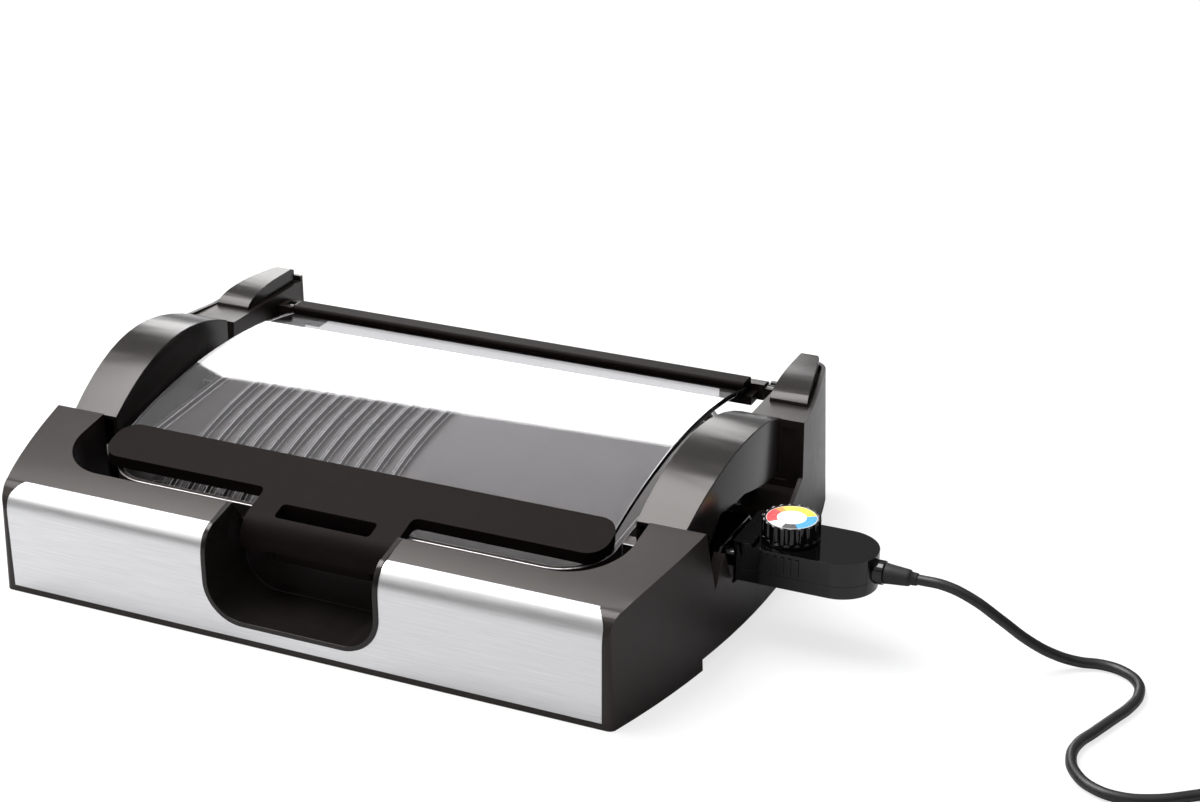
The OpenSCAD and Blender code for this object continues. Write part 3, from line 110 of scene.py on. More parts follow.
def add_node(
    tree: bpy.types.NodeTree,
    kind: str,
    settings: dict[str, Any] | None = None,
    inputs: dict[str | int, Any] | None = None,
) -> bpy.types.Node:
    """Adds a node with its settings and links.

    Args:
        tree: the node tree.
        kind: the node's type name, without its ShaderNode prefix.
        settings: attributes of the node.
        inputs: a value, or a socket to link from, for each input by name or number.

    Returns:
        The new node.
    """
    node = tree.nodes.new("ShaderNode" + kind)
    for name, value in (settings or {}).items():
        setattr(node, name, value)
    for name, value in (inputs or {}).items():
        if isinstance(value, bpy.types.NodeSocket):
            tree.links.new(value, node.inputs[name])
        else:
            node.inputs[name].default_value = value
    return node


def add_ramp(
    tree: bpy.types.NodeTree,
    value: bpy.types.NodeSocket,
    stops: Sequence[tuple[float, tuple[float, float, float, float]]],
    stepped: bool = False,
) -> bpy.types.NodeSocket:
    """Adds a colour ramp.

    Args:
        tree: the node tree.
        value: what the ramp is read at.
        stops: positions from 0 to 1 in rising order, each with its linear colour.
        stepped: whether each colour holds up to the next stop.

    Returns:
        The colour socket.
    """
    ramp = add_node(tree, "ValToRGB", inputs={"Fac": value})
    bar = ramp.color_ramp
    bar.interpolation = "CONSTANT" if stepped else "LINEAR"
    while len(bar.elements) < len(stops):
        bar.elements.new(1.0)
    for element, (position, colour) in zip(bar.elements, stops):
        element.position = position
        element.color = colour
    return ramp.outputs["Color"]


def add_sum(
    tree: bpy.types.NodeTree, kind: str, first: Any, second: Any
) -> bpy.types.NodeSocket:
    """Adds a sum on two values.

    Args:
        tree: the node tree.
        kind: the operation, such as MULTIPLY.
        first: a value or a socket.
        second: a value or a socket.

    Returns:
        The result.
    """
    return add_node(tree, "Math", {"operation": kind}, {0: first, 1: second}).outputs["Value"]


# --------------------------------------------------------------------------- finishes


@dataclass(frozen=True)
class Finish:
    """A surface: what it is made of and how it was made."""

    name: str
    colour: str
    second_colour: str
    roughness: float = 0.4
    roughness_spread: float = 0.05
    metallic: float = 0.0
    ior: float = 1.5
    specular: float = 0.5
    tint: str = "#ffffff"
    mottle_mm: float = 12.0
    grain_mm: float = 0.6
    grain_depth_mm: float = 0.02
    stretch: Point = (1.0, 1.0, 1.0)
    # Size of the patches of roughness against those of colour
    smear: float = 0.7
    grain_strength: float = 0.6

    def coordinates(self, tree: bpy.types.NodeTree, size_mm: float) -> bpy.types.NodeSocket:
        """Gives object coordinates in which a pattern of scale 1 repeats every size_mm.

        Args:
            tree: the node tree.
            size_mm: the real size of the pattern, in millimetres.

        Returns:
            The vector socket.
        """
        source = add_node(tree, "TexCoord").outputs["Object"]
        scale = [s / (size_mm * MM) for s in self.stretch]
        mapping = add_node(tree, "Mapping", inputs={"Vector": source, "Scale": scale})
        return mapping.outputs["Vector"]

    def noise(
        self, tree: bpy.types.NodeTree, size_mm: float, detail: float = 2.0
    ) -> bpy.types.NodeSocket:
        """A soft random pattern of a real size.

        Args:
            tree: the node tree.
            size_mm: the size of its patches, in millimetres.
            detail: how many finer octaves it has.

        Returns:
            Its value, from 0 to 1.
        """
        vector = self.coordinates(tree, size_mm)
        node = add_node(tree, "TexNoise", inputs={"Vector": vector, "Scale": 1.0, "Detail": detail})
        return node.outputs["Fac"]

    def colour_socket(self, tree: bpy.types.NodeTree) -> bpy.types.NodeSocket:
        """The colour, drifting a little towards the second colour.

        Args:
            tree: the node tree.

        Returns:
            The colour socket.
        """
        patches = self.noise(tree, self.mottle_mm)
        colours = (linear(self.colour), linear(self.second_colour))
        return add_ramp(tree, patches, list(zip(MOTTLE_STOPS, colours)))

    def bump_height(self, tree: bpy.types.NodeTree) -> bpy.types.NodeSocket:
        """The height of the surface's own grain.

        Args:
            tree: the node tree.

        Returns:
            The height socket.
        """
        return self.noise(tree, self.grain_mm, 3.0)

    def roughness_socket(self, tree: bpy.types.NodeTree) -> bpy.types.NodeSocket:
        """The roughness, which varies a little over the surface.

        Args:
            tree: the node tree.

        Returns:
            The roughness socket.
        """
        spread = add_node(
            tree,
            "MapRange",
            inputs={
                "Value": self.noise(tree, self.mottle_mm * self.smear),
                "From Min": ROUGHNESS_STOPS[0],
                "From Max": ROUGHNESS_STOPS[1],
                "To Min": max(LEAST_ROUGHNESS, self.roughness - self.roughness_spread),
                "To Max": self.roughness + self.roughness_spread,
            },
        )
        return spread.outputs["Result"]

    def build(self) -> bpy.types.Material:
        """Makes the material.

        Returns:
            The material, or the one already made under this name.
        """
        found = bpy.data.materials.get(self.name)
        if found is not None:
            return found
        material = bpy.data.materials.new(self.name)
        material.use_nodes = True
        tree = material.node_tree
        tree.nodes.clear()
        shader = add_node(
            tree,
            "BsdfPrincipled",
            inputs={
                "Base Color": self.colour_socket(tree),
                "Roughness": self.roughness_socket(tree),
                "Metallic": self.metallic,
                "IOR": self.ior,
                "Specular IOR Level": self.specular,
                "Specular Tint": linear(self.tint),
            },
        )
        if self.grain_depth_mm > 0:
            bump = add_node(
                tree,
                "Bump",
                inputs={
                    "Height": self.bump_height(tree),
                    "Strength": self.grain_strength,
                    "Distance": self.grain_depth_mm * MM,
                },
            )
            tree.links.new(bump.outputs["Normal"], shader.inputs["Normal"])
        self.finish_shader(shader)
        add_node(tree, "OutputMaterial", inputs={"Surface": shader.outputs["BSDF"]})
        return material

    def finish_shader(self, shader: bpy.types.Node) -> None:
        """Lets a finish add to its shader.

        Args:
            shader: the principled shader.
        """


@dataclass(frozen=True)
class SpeckledFinish(Finish):
    """A sprayed coating with fine pale specks."""

    speck_mm: float = 1.3
    speck_colour: str = "#5d5a5a"
    speck_share: float = 0.15
    speck_fade: float = 0.12

    def colour_socket(self, tree: bpy.types.NodeTree) -> bpy.types.NodeSocket:
        """The base colour with specks over it.

        Args:
            tree: the node tree.

        Returns:
            The colour socket.
        """
        base = super().colour_socket(tree)
        cells = add_node(
            tree,
            "TexVoronoi",
            inputs={"Vector": self.coordinates(tree, self.speck_mm), "Scale": 1.0},
        )
        mask = add_node(
            tree,
            "MapRange",
            inputs={
                "Value": cells.outputs["Distance"],
                "From Min": self.speck_share,
                "From Max": self.speck_share + self.speck_fade,
                "To Min": 1.0,
                "To Max": 0.0,
            },
        )
        pick = add_sum(tree, "MULTIPLY", mask.outputs["Result"], cells.outputs["Color"])
        speck = linear(self.speck_colour)
        mix = add_node(tree, "Mix", {"data_type": "RGBA"}, {"Factor": pick, 6: base, 7: speck})
        return mix.outputs[2]


@dataclass(frozen=True)
class GlassFinish(Finish):
    """Clear toughened float glass."""

    def finish_shader(self, shader: bpy.types.Node) -> None:
        """Makes the shader clear.

        Args:
            shader: the principled shader.
        """
        shader.inputs["Transmission Weight"].default_value = 1.0


@dataclass(frozen=True)
class DialFinish(Finish):
    """A printed dial: a ring of coloured fields round a white middle."""

    middle_mm: tuple[float, float] = (284.0, 158.0)
    ring_in_mm: float = 9.6
    ring_out_mm: float = 16.3
    # Where each field starts, in turns from the left, and its colour
    fields: tuple[tuple[float, str], ...] = (
        (0.0, "#d8262c"),
        (0.123, "#f2f1f0"),
        (0.234, "#232122"),
        (0.338, "#1f8fd0"),
        (0.581, "#f3cf2b"),
        (0.86, "#ee8a2a"),
        (0.921, "#d8262c"),
    )

    def colour_socket(self, tree: bpy.types.NodeTree) -> bpy.types.NodeSocket:
        """Coloured fields by their angle, on white.

        Args:
            tree: the node tree.

        Returns:
            The colour socket.
        """
        place = add_node(tree, "TexCoord").outputs["Object"]
        x, y = self.middle_mm
        centred = add_node(
            tree,
            "Mapping",
            {"vector_type": "POINT"},
            {"Vector": place, "Location": (-x, -y, 0.0), "Scale": (1 / MM, 1 / MM, 0.0)},
        ).outputs["Vector"]
        turn = add_node(tree, "TexGradient", {"gradient_type": "RADIAL"}, {"Vector": centred})
        stops = [(start, linear(colour)) for start, colour in self.fields]
        ring = add_ramp(tree, turn.outputs["Fac"], stops, stepped=True)
        length = add_node(tree, "VectorMath", {"operation": "LENGTH"}, {0: centred})
        distance = length.outputs["Value"]
        inner = add_sum(tree, "GREATER_THAN", distance, self.ring_in_mm)
        outer = add_sum(tree, "LESS_THAN", distance, self.ring_out_mm)
        mask = add_sum(tree, "MULTIPLY", inner, outer)
        mix = add_node(
            tree, "Mix", {"data_type": "RGBA"}, {"Factor": mask, 6: linear(self.colour), 7: ring}
        )
        return mix.outputs[2]


@dataclass(frozen=True)
class Finishes:
    """Every finish on the grill."""

    # Moulded ABS with a fine spark-eroded grain: black, with soft broad highlights
    satin_abs: Finish = Finish(
        "satin_black_abs", "#161210", "#1a1513", roughness=0.36, roughness_spread=0.02,
        specular=0.38, tint="#fff6f2", grain_mm=0.9, grain_depth_mm=0.01,
    )
    # The same ABS on surfaces that the mould left smoother
    smooth_abs: Finish = Finish(
        "smooth_black_abs", "#12100f", "#161312", roughness=0.22, roughness_spread=0.005,
        specular=0.36, tint="#fff9f6", grain_depth_mm=0.0,
    )
    # The same ABS etched matt, so that it stays dark under the lamps
    matt_abs: Finish = Finish(
        "etched_black_abs", "#0c0908", "#0f0b0a", roughness=0.52, roughness_spread=0.01,
        specular=0.05, tint="#fff0ea", grain_mm=0.9, grain_depth_mm=0.01,
    )
    # ABS from a polished mould: black, with sharp highlights
    gloss_abs: Finish = Finish(
        "polished_black_abs", "#040404", "#050505", roughness=0.06, roughness_spread=0.005,
        specular=0.5, grain_depth_mm=0.0,
    )
    # Cold-rolled stainless sheet brushed along its length: fine pale streaks
    brushed_steel: Finish = Finish(
        "brushed_stainless_steel", "#dddddd", "#e8e8e8", roughness=0.34, roughness_spread=0.03,
        metallic=1.0, mottle_mm=1.2, grain_mm=0.5, grain_depth_mm=0.002, stretch=(0.03, 1.0, 1.0),
    )
    # Gravity-cast aluminium under a sprayed non-stick coat: warm dark grey with pale specks
    plate_coat: Finish = SpeckledFinish(
        "speckled_nonstick_coat", "#292422", "#332e2b", roughness=0.33, metallic=0.3, specular=0.4,
        grain_mm=1.4, grain_depth_mm=0.04, mottle_mm=30.0,
    )
    # The same coat painted pale on its rounded edges: a painted highlight
    plate_edge_highlight: Finish = Finish(
        "painted_edge_highlight", "#a8a6a5", "#bdbbba", roughness=0.3, metallic=0.6, mottle_mm=6.0,
        grain_mm=1.0, grain_depth_mm=0.01,
    )
    # Drawn sheet steel under a thin silver-grey non-stick coat
    tray_coat: Finish = Finish(
        "silver_nonstick_steel", "#d3d2d9", "#dad9df", roughness=0.38, metallic=0.2,
        mottle_mm=22.0, grain_mm=1.0, grain_depth_mm=0.01,
    )
    # A darker copy of the coat on the tray's outside: painted shade, as the outside faces down
    tray_outside_shade: Finish = Finish(
        "tray_coat_painted_shade", "#6b6a76", "#777682", roughness=0.45, metallic=0.25,
        mottle_mm=4.0, grain_mm=1.0, grain_depth_mm=0.01,
    )
    # Nickel-chrome alloy sheath, browned by heat
    sheath: Finish = Finish(
        "oxidised_steel_sheath", "#4a4744", "#5c5752", roughness=0.5, metallic=0.9, grain_mm=0.8
    )
    # Turned, nickel-plated steel
    plated: Finish = Finish(
        "nickel_plated_steel", "#c9c7c2", "#d4d2cd", roughness=0.16, roughness_spread=0.04,
        metallic=1.0, mottle_mm=4.0, grain_mm=0.5, grain_depth_mm=0.003,
    )
    # Zinc-plated screws
    zinc: Finish = Finish(
        "zinc_plated_steel", "#9fa1a3", "#b3b5b6", roughness=0.34, metallic=1.0, mottle_mm=2.0,
        grain_mm=0.4,
    )
    # Pressed steatite
    steatite: Finish = Finish(
        "pressed_steatite", "#d9d2c3", "#e2dccf", roughness=0.62, grain_mm=0.7, mottle_mm=5.0
    )
    # Silicone rubber feet, bumpers and strain relief
    silicone: Finish = Finish(
        "black_silicone_rubber", "#161617", "#1d1d1e", roughness=0.6, grain_mm=0.8, ior=1.42
    )
    # Extruded rubber lead
    lead: Finish = Finish(
        "black_rubber_lead", "#0f0f10", "#161618", roughness=0.42, grain_mm=1.1,
        grain_depth_mm=0.04, mottle_mm=9.0,
    )
    glass: Finish = GlassFinish(
        "clear_toughened_glass", "#f3f2f5", "#f5f4f6", roughness=0.02, roughness_spread=0.0,
        grain_depth_mm=0.0,
    )
    # Screen-printed aluminium disc under clear lacquer
    dial: Finish = DialFinish(
        "printed_dial", "#efeeed", "#efeeed", roughness=0.3, mottle_mm=3.0, grain_depth_mm=0.004
    )


FINISHES = Finishes()


# --------------------------------------------------------------------------- pieces


def smooth_group() -> bpy.types.NodeTree:
    """Makes the steps that shade a mesh smooth up to an angle.

    Returns:
        The node group, which is made once.
    """
    name = "smooth_to_angle"
    found = bpy.data.node_groups.get(name)
    if found is not None:
        return found
    tree = bpy.data.node_groups.new(name, "GeometryNodeTree")
    tree.interface.new_socket("Geometry", in_out="INPUT", socket_type="NodeSocketGeometry")
    tree.interface.new_socket("Geometry", in_out="OUTPUT", socket_type="NodeSocketGeometry")
    start = tree.nodes.new("NodeGroupInput")
    end = tree.nodes.new("NodeGroupOutput")
    angles = tree.nodes.new("GeometryNodeInputMeshEdgeAngle")
    compare = tree.nodes.new("FunctionNodeCompare")
    compare.data_type = "FLOAT"
    compare.operation = "LESS_THAN"
    compare.inputs["B"].default_value = math.radians(SMOOTH_EDGE)
    edges = tree.nodes.new("GeometryNodeSetShadeSmooth")
    edges.domain = "EDGE"
    faces = tree.nodes.new("GeometryNodeSetShadeSmooth")
    faces.domain = "FACE"
    faces.inputs["Shade Smooth"].default_value = True
    tree.links.new(angles.outputs["Unsigned Angle"], compare.inputs["A"])
    tree.links.new(start.outputs["Geometry"], faces.inputs["Geometry"])
    tree.links.new(faces.outputs["Geometry"], edges.inputs["Geometry"])
    tree.links.new(compare.outputs["Result"], edges.inputs["Shade Smooth"])
    tree.links.new(edges.outputs["Geometry"], end.inputs["Geometry"])
    return tree


def dress(
    name: str,
    finish: Finish,
    edge: Edge = Edge.MOULDED,
    edge_finish: Finish | None = None,
    full: bool = False,
) -> bpy.types.Object:
    """Gives a CAD node its finish, and breaks its edges as a mould or a press does.

    Args:
        name: the node's name.
        finish: the finish.
        edge: how its edges were made.
        edge_finish: the finish of the rounded edges, where it isn't the same, such as a painted
            highlight.
        full: whether each edge gets its full radius, also beside very short edges.

    Returns:
        The node's object.
    """
    node = bpy.data.objects[name]
    node.data.materials.clear()
    node.data.materials.append(finish.build())
    weld = node.modifiers.new("weld", "WELD")
    weld.merge_threshold = WELD * MM
    if edge is not Edge.CLEAN:
        bevel = node.modifiers.new("edges", "BEVEL")
        bevel.width = edge.value * MM
        bevel.segments = EDGE_STEPS
        bevel.limit_method = "ANGLE"
        bevel.angle_limit = math.radians(BROKEN_EDGE if edge_finish is None else HIGHLIGHT_EDGE_TURN)
        bevel.use_clamp_overlap = not full
        bevel.miter_outer = "MITER_ARC"
        # The rounded edges take the second finish, a painted highlight where there is one
        if edge_finish is not None:
            node.data.materials.append(edge_finish.build())
            bevel.material = 1
    smooth = node.modifiers.new("smooth", "NODES")
    smooth.node_group = smooth_group()
    even = node.modifiers.new("even", "WEIGHTED_NORMAL")
    even.keep_sharp = True
    even.weight = FACE_WEIGHT
    LOG.info("dressed %s in %s", name, finish.name)
    return node


def dress_all(names: Iterable[str], finish: Finish, edge: Edge = Edge.MOULDED) -> None:
    """Gives several CAD nodes one finish.

    Args:
        names: the nodes' names.
        finish: the finish.
        edge: how their edges were made.
    """
    for name in names:
        dress(name, finish, edge)


def loft(rings: Sequence[Ring], close_start: bool, close_end: bool) -> Skin:
    """Joins closed rings of points into a skin.

    Args:
        rings: rings of the same number of points.
        close_start: whether the first ring gets a cap.
        close_end: whether the last ring gets a cap.

    Returns:
        The points and the faces.
    """
    count = len(rings[0])
    points = [p for ring in rings for p in ring]
    faces = []
    for i in range(len(rings) - 1):
        here, above = i * count, (i + 1) * count
        for k in range(count):
            after = (k + 1) % count
            faces.append([here + k, here + after, above + after, above + k])
    if close_start:
        faces.append(list(range(count))[::-1])
    if close_end:
        faces.append([(len(rings) - 1) * count + k for k in range(count)])
    return points, faces


def rounded(
    corners: Sequence[tuple[float, float]], radius: float, out: float, steps: int = 10
) -> list[tuple[float, float]]:
    """Rounds the corners of a convex outline that has been moved out.

    Args:
        corners: the outline, anticlockwise.
        radius: the radius of its corners before it is moved.
        out: how far it is moved out.
        steps: how many points each corner gets, less one.

    Returns:
        Its points, anticlockwise.
    """
    points = []
    for i, corner in enumerate(corners):
        here = Vector(corner)
        back = (here - Vector(corners[i - 1])).normalized()
        ahead = (Vector(corners[(i + 1) % len(corners)]) - here).normalized()
        turn = back.angle(ahead)
        # Middle of the corner's arc, on the inner side of both edges
        inward = (ahead - back).normalized()
        middle = here + inward * (radius / math.cos(turn / 2))
        start = math.atan2(-back.x, back.y)
        for k in range(steps + 1):
            angle = start + turn * k / steps
            reach = radius + out
            points.append((middle.x + reach * math.cos(angle), middle.y + reach * math.sin(angle)))
    return points


@dataclass
class Maker:
    """Makes the pieces of one body."""

    body: str

    def piece(
        self,
        name: str,
        skin: Skin,
        finish: Finish,
        slot: str,
        instead_of: Sequence[str] = (),
    ) -> bpy.types.Object:
        """Makes a smooth piece from points in millimetres.

        Args:
            name: the piece's name.
            skin: its points and faces.
            finish: its finish.
            slot: not used.
            instead_of: the CAD nodes that it stands for.

        Returns:
            The new object.
        """
        mesh = bpy.data.meshes.new(name)
        points, faces = skin
        mesh.from_pydata([tuple(c * MM for c in p) for p in points], [], [list(f) for f in faces])
        mesh.shade_smooth()
        mesh.materials.append(finish.build())
        made = bpy.data.objects.new(name, mesh)
        bpy.context.scene.collection.objects.link(made)
        self.keep(made, slot, instead_of)
        return made

    def keep(self, made: bpy.types.Object, slot: str, instead_of: Sequence[str] = ()) -> None:
        """Puts a piece on the body.

        Args:
            made: the piece.
            slot: not used.
            instead_of: the CAD nodes that it stands for.
        """
        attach(made, self.body)
        if instead_of:
            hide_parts(*instead_of)
        LOG.info("made %s on %s", made.name, self.body)


# --------------------------------------------------------------------------- stage


@dataclass(frozen=True)
class Lamp:
    """A square soft box, in metres and watts."""

    name: str
    place: Point
    aim: Point
    size: float
    power: float

    def hang(self) -> None:
        """Adds the lamp to the scene."""
        data = bpy.data.lights.new(self.name, "AREA")
        data.size = self.size
        data.energy = self.power
        lamp = bpy.data.objects.new(self.name, data)
        bpy.context.scene.collection.objects.link(lamp)
        way = Vector(self.aim) - Vector(self.place)
        turn = way.to_track_quat("-Z", "Y").to_matrix().to_4x4()
        lamp.matrix_world = Matrix.Translation(Vector(self.place)) @ turn


@dataclass
class Stage:
    """Floor, light and camera."""

    eye_mm: Point = (702.3, -1080.6, 737.3)
    azimuth: float = 24.1
    elevation: float = 23.6
    lens_mm: float = 67.5
    sensor_mm: float = 36.0
    # Nearest thing that the camera sees, in metres
    nearest: float = 0.01
    floor_size: float = 12.0
    floor_roughness: float = 0.8
    # Brightness of the room by the sine of the height above the horizon
    room: tuple[tuple[float, float], ...] = (
        (0.0, 0.1),
        (0.3, 0.12),
        (0.55, 0.3),
        (0.75, 0.7),
        (0.9, 0.95),
    )
    # Share of its own light in what the camera sees of the floor
    floor_glow: float = 0.72
    # Just under the grill, so that the two don't flicker
    floor_drop_mm: float = 0.2
    lamps: tuple[Lamp, ...] = (
        Lamp("overhead", (-0.7, 0.15, 1.9), (0.0, 0.1, 0.1), 1.45, 66.0),
        Lamp("front_left", (-1.6, -1.3, 1.1), (0.0, 0.1, 0.1), 0.9, 7.0),
        Lamp("front", (0.3, -2.4, 0.6), (0.0, 0.0, 0.1), 1.4, 4.0),
        Lamp("back", (-1.3, 2.7, 1.2), (0.0, 0.1, 0.15), 1.3, 27.0),
    )

    def build(self) -> None:
        """Makes the stage."""
        self.camera()
        self.world()
        self.floor()
        for lamp in self.lamps:
            lamp.hang()

    def camera(self) -> None:
        """Sets the camera."""
        data = bpy.data.cameras.new("camera")
        data.lens = self.lens_mm
        data.sensor_width = self.sensor_mm
        data.clip_start = self.nearest
        cam = bpy.data.objects.new("camera", data)
        bpy.context.scene.collection.objects.link(cam)
        a, e = math.radians(self.azimuth), math.radians(self.elevation)
        ahead = Vector((-math.sin(a) * math.cos(e), math.cos(a) * math.cos(e), -math.sin(e)))
        turn = ahead.to_track_quat("-Z", "Y").to_matrix().to_4x4()
        cam.matrix_world = Matrix.Translation(Vector(self.eye_mm) * MM) @ turn
        bpy.context.scene.camera = cam

    def world(self) -> None:
        """Makes a room that is bright overhead and dim at its walls, on a white background."""
        world = bpy.data.worlds.new("room")
        bpy.context.scene.world = world
        world.use_nodes = True
        tree = world.node_tree
        tree.nodes.clear()
        path = add_node(tree, "LightPath")
        seen = add_sum(
            tree, "MAXIMUM", path.outputs["Is Camera Ray"], path.outputs["Is Transmission Ray"]
        )
        way = add_node(tree, "TexCoord").outputs["Generated"]
        height = add_node(tree, "SeparateXYZ", inputs={0: way}).outputs["Z"]
        colour = add_ramp(tree, height, [(h, (v, v, v, 1.0)) for h, v in self.room])
        dim = add_node(tree, "Background", inputs={"Color": colour, "Strength": 1.0})
        white = add_node(tree, "Background", inputs={"Color": linear("#ffffff"), "Strength": 1.0})
        mix = add_node(tree, "MixShader", inputs={0: seen, 1: dim.outputs[0], 2: white.outputs[0]})
        add_node(tree, "OutputWorld", inputs={"Surface": mix.outputs[0]})

    def floor(self) -> None:
        """Makes a near-white floor that keeps the grill's shadow."""
        mesh = bpy.data.meshes.new("floor")
        half = self.floor_size / 2
        corners = [(-half, -half, 0), (half, -half, 0), (half, half, 0), (-half, half, 0)]
        mesh.from_pydata(corners, [], [(0, 1, 2, 3)])
        floor = bpy.data.objects.new("floor", mesh)
        bpy.context.scene.collection.objects.link(floor)
        floor.location.z = -self.floor_drop_mm * MM
        material = bpy.data.materials.new("pale_floor")
        material.use_nodes = True
        tree = material.node_tree
        tree.nodes.clear()
        path = add_node(tree, "LightPath")
        seen = add_sum(
            tree, "MAXIMUM", path.outputs["Is Camera Ray"], path.outputs["Is Transmission Ray"]
        )
        share = add_sum(tree, "MULTIPLY", seen, self.floor_glow)
        # Greyer in reflections than to the camera: painted shade in the floor's reflections on the
        # grill
        stops = [(0.0, linear("#f6f6f7")), (1.0, linear("#b2b2b4"))]
        colour = add_ramp(tree, path.outputs["Is Glossy Ray"], stops)
        looks = {"Base Color": colour, "Roughness": self.floor_roughness}
        paper = add_node(tree, "BsdfPrincipled", inputs=looks)
        glow = add_node(tree, "Emission", inputs={"Color": linear("#ffffff"), "Strength": 1.0})
        sources = {0: share, 1: paper.outputs[0], 2: glow.outputs[0]}
        mix = add_node(tree, "MixShader", inputs=sources)
        add_node(tree, "OutputMaterial", inputs={"Surface": mix.outputs[0]})
        mesh.materials.append(material)


# --------------------------------------------------------------------------- lead


@dataclass
class Lead(Maker):
    """The mains lead: strain relief, free stretch, coil, tie and plug."""

    body: str = "thermostat"
    diameter: float = 7.0
    # Middle line from the strain relief to the coil
    route: tuple[Point, ...] = (
        (370, 158, 60), (388, 158, 59.5), (405, 160, 53), (423, 166, 39), (440, 175, 23),
        (456, 185, 11), (470, 193, 5), (484, 198, 3.5), (498, 195, 3.5), (509, 185, 3.5),
        (513, 170, 3.5), (511, 154, 3.5), (504, 134, 3.5), (497, 115, 3.5), (491, 98, 3.5),
        (491, 81, 3.5), (498, 65, 3.5), (511, 54, 3.5), (527, 51, 3.5), (544, 56, 3.5),
        (561, 67, 3.5), (578, 82, 3.5), (592, 103, 3.5),
    )
    # Middle line from the coil to the plug
    tail: tuple[Point, ...] = ((678, 118, 10), (682, 106, 9), (684, 94, 9), (684, 80, 9))
    coil_middle: tuple[float, float] = (637.0, 130.0)
    coil_radius: float = 36.0
    turns: float = 3.5
    steps_per_turn: int = 16
    # Steps between two points of the middle line, and round each quarter of the lead
    curve_steps: int = 5
    # Turns over which the lead moves in, then up on to the first laps, then out
    moves: tuple[tuple[float, float], ...] = ((0.72, 1.0), (1.58, 1.84), (2.5, 2.74))
    # Where the sleeve starts, and its profile: distance along it and how far it stands out
    relief_start: float = 348.0
    relief: tuple[tuple[float, float], ...] = (
        (0.0, 2.6), (0.1, 3.2), (0.8, 3.4), (5.0, 2.9), (15.0, 2.1), (16.6, 1.9), (17.2, 1.3),
        (17.4, 0.9), (21.0, 0.7), (21.8, 0.5), (22.0, 0.1),
    )
    relief_sides: int = 48
    # Distance from the lead's end, then shares of the plug's width and height
    plug_sections: tuple[tuple[float, float, float], ...] = (
        (0.0, 0.28, 0.5), (0.3, 0.32, 0.58), (2.0, 0.36, 0.62), (8.0, 0.5, 0.7),
        (12.0, 0.72, 0.82), (17.0, 0.86, 0.9), (23.0, 0.88, 0.86), (29.0, 0.97, 0.97),
        (31.0, 1.0, 1.0), (36.8, 1.0, 1.0), (37.6, 0.97, 0.95), (38.0, 0.93, 0.88),
    )
    plug_sides: int = 56
    # Below 1, the plug's section is squarer than an oval
    plug_squareness: float = 0.72

    def build(self) -> None:
        """Makes the lead and everything on it."""
        relief = self.strain_relief()
        plug = self.plug()
        dress("plug_pins", FINISHES.plated, Edge.CRISP)
        dress("cord_tie", FINISHES.silicone, Edge.STAMPED)
        lead = self.cable()

    def length(self, lead: bpy.types.Object) -> float:
        """The lead's length.

        Args:
            lead: the curve.

        Returns:
            Its length in metres.
        """
        return lead.data.splines[0].calc_length()

    def ease(self, turn: float, start: float, end: float) -> float:
        """How far a smooth move has got.

        Args:
            turn: turns from the coil's start.
            start: the turn that the move starts at.
            end: the turn that it ends at.

        Returns:
            0 before the start, 1 after the end.
        """
        share = min(1.0, max(0.0, (turn - start) / (end - start)))
        return (1 - math.cos(math.pi * share)) / 2

    def coil(self) -> list[Point]:
        """The coil: two laps side by side on the table, then a lap and a half on those.

        Returns:
            Points along the middle of the lead.
        """
        half = self.diameter / 2
        points = []
        for i in range(round(self.turns * self.steps_per_turn) + 1):
            turn = i / self.steps_per_turn
            inward, upward, outward = (self.ease(turn, *move) for move in self.moves)
            radius = self.coil_radius + half * (1 - 2 * inward + 2 * outward)
            height = half * (1 + 2 * upward)
            angle = math.pi - 2 * math.pi * turn
            points.append(
                (
                    self.coil_middle[0] + radius * math.cos(angle),
                    self.coil_middle[1] + radius * math.sin(angle),
                    height,
                )
            )
        return points

    def cable(self) -> bpy.types.Object:
        """Makes the rubber lead.

        Returns:
            The curve.
        """
        data = bpy.data.curves.new("rubber_lead", "CURVE")
        data.dimensions = "3D"
        data.bevel_depth = self.diameter / 2 * MM
        data.bevel_resolution = self.curve_steps
        data.resolution_u = self.curve_steps
        data.use_fill_caps = True
        spline = data.splines.new("BEZIER")
        points = [*self.route, *self.coil(), *self.tail]
        spline.bezier_points.add(len(points) - 1)
        for knot, point in zip(spline.bezier_points, points):
            knot.co = [c * MM for c in point]
            knot.handle_left_type = "AUTO"
            knot.handle_right_type = "AUTO"
        data.materials.append(FINISHES.lead.build())
        lead = bpy.data.objects.new("rubber_lead", data)
        bpy.context.scene.collection.objects.link(lead)
        self.keep(lead, "cord_rubber", ["cord", "cord_coil", "cord_tail"])
        return lead

    def strain_relief(self) -> bpy.types.Object:
        """Makes the tapered sleeve that the lead leaves through.

        Returns:
            The piece.
        """
        _, y, z = self.route[0]
        turns = [2 * math.pi * k / self.relief_sides for k in range(self.relief_sides)]
        rings = []
        for along, out in self.relief:
            x, radius = self.relief_start + along, self.diameter / 2 + out
            rings.append([(x, y + radius * math.cos(a), z + radius * math.sin(a)) for a in turns])
        skin = loft(rings, True, True)
        return self.piece("tapered_sleeve", skin, FINISHES.silicone, "rubber", ["strain_relief"])

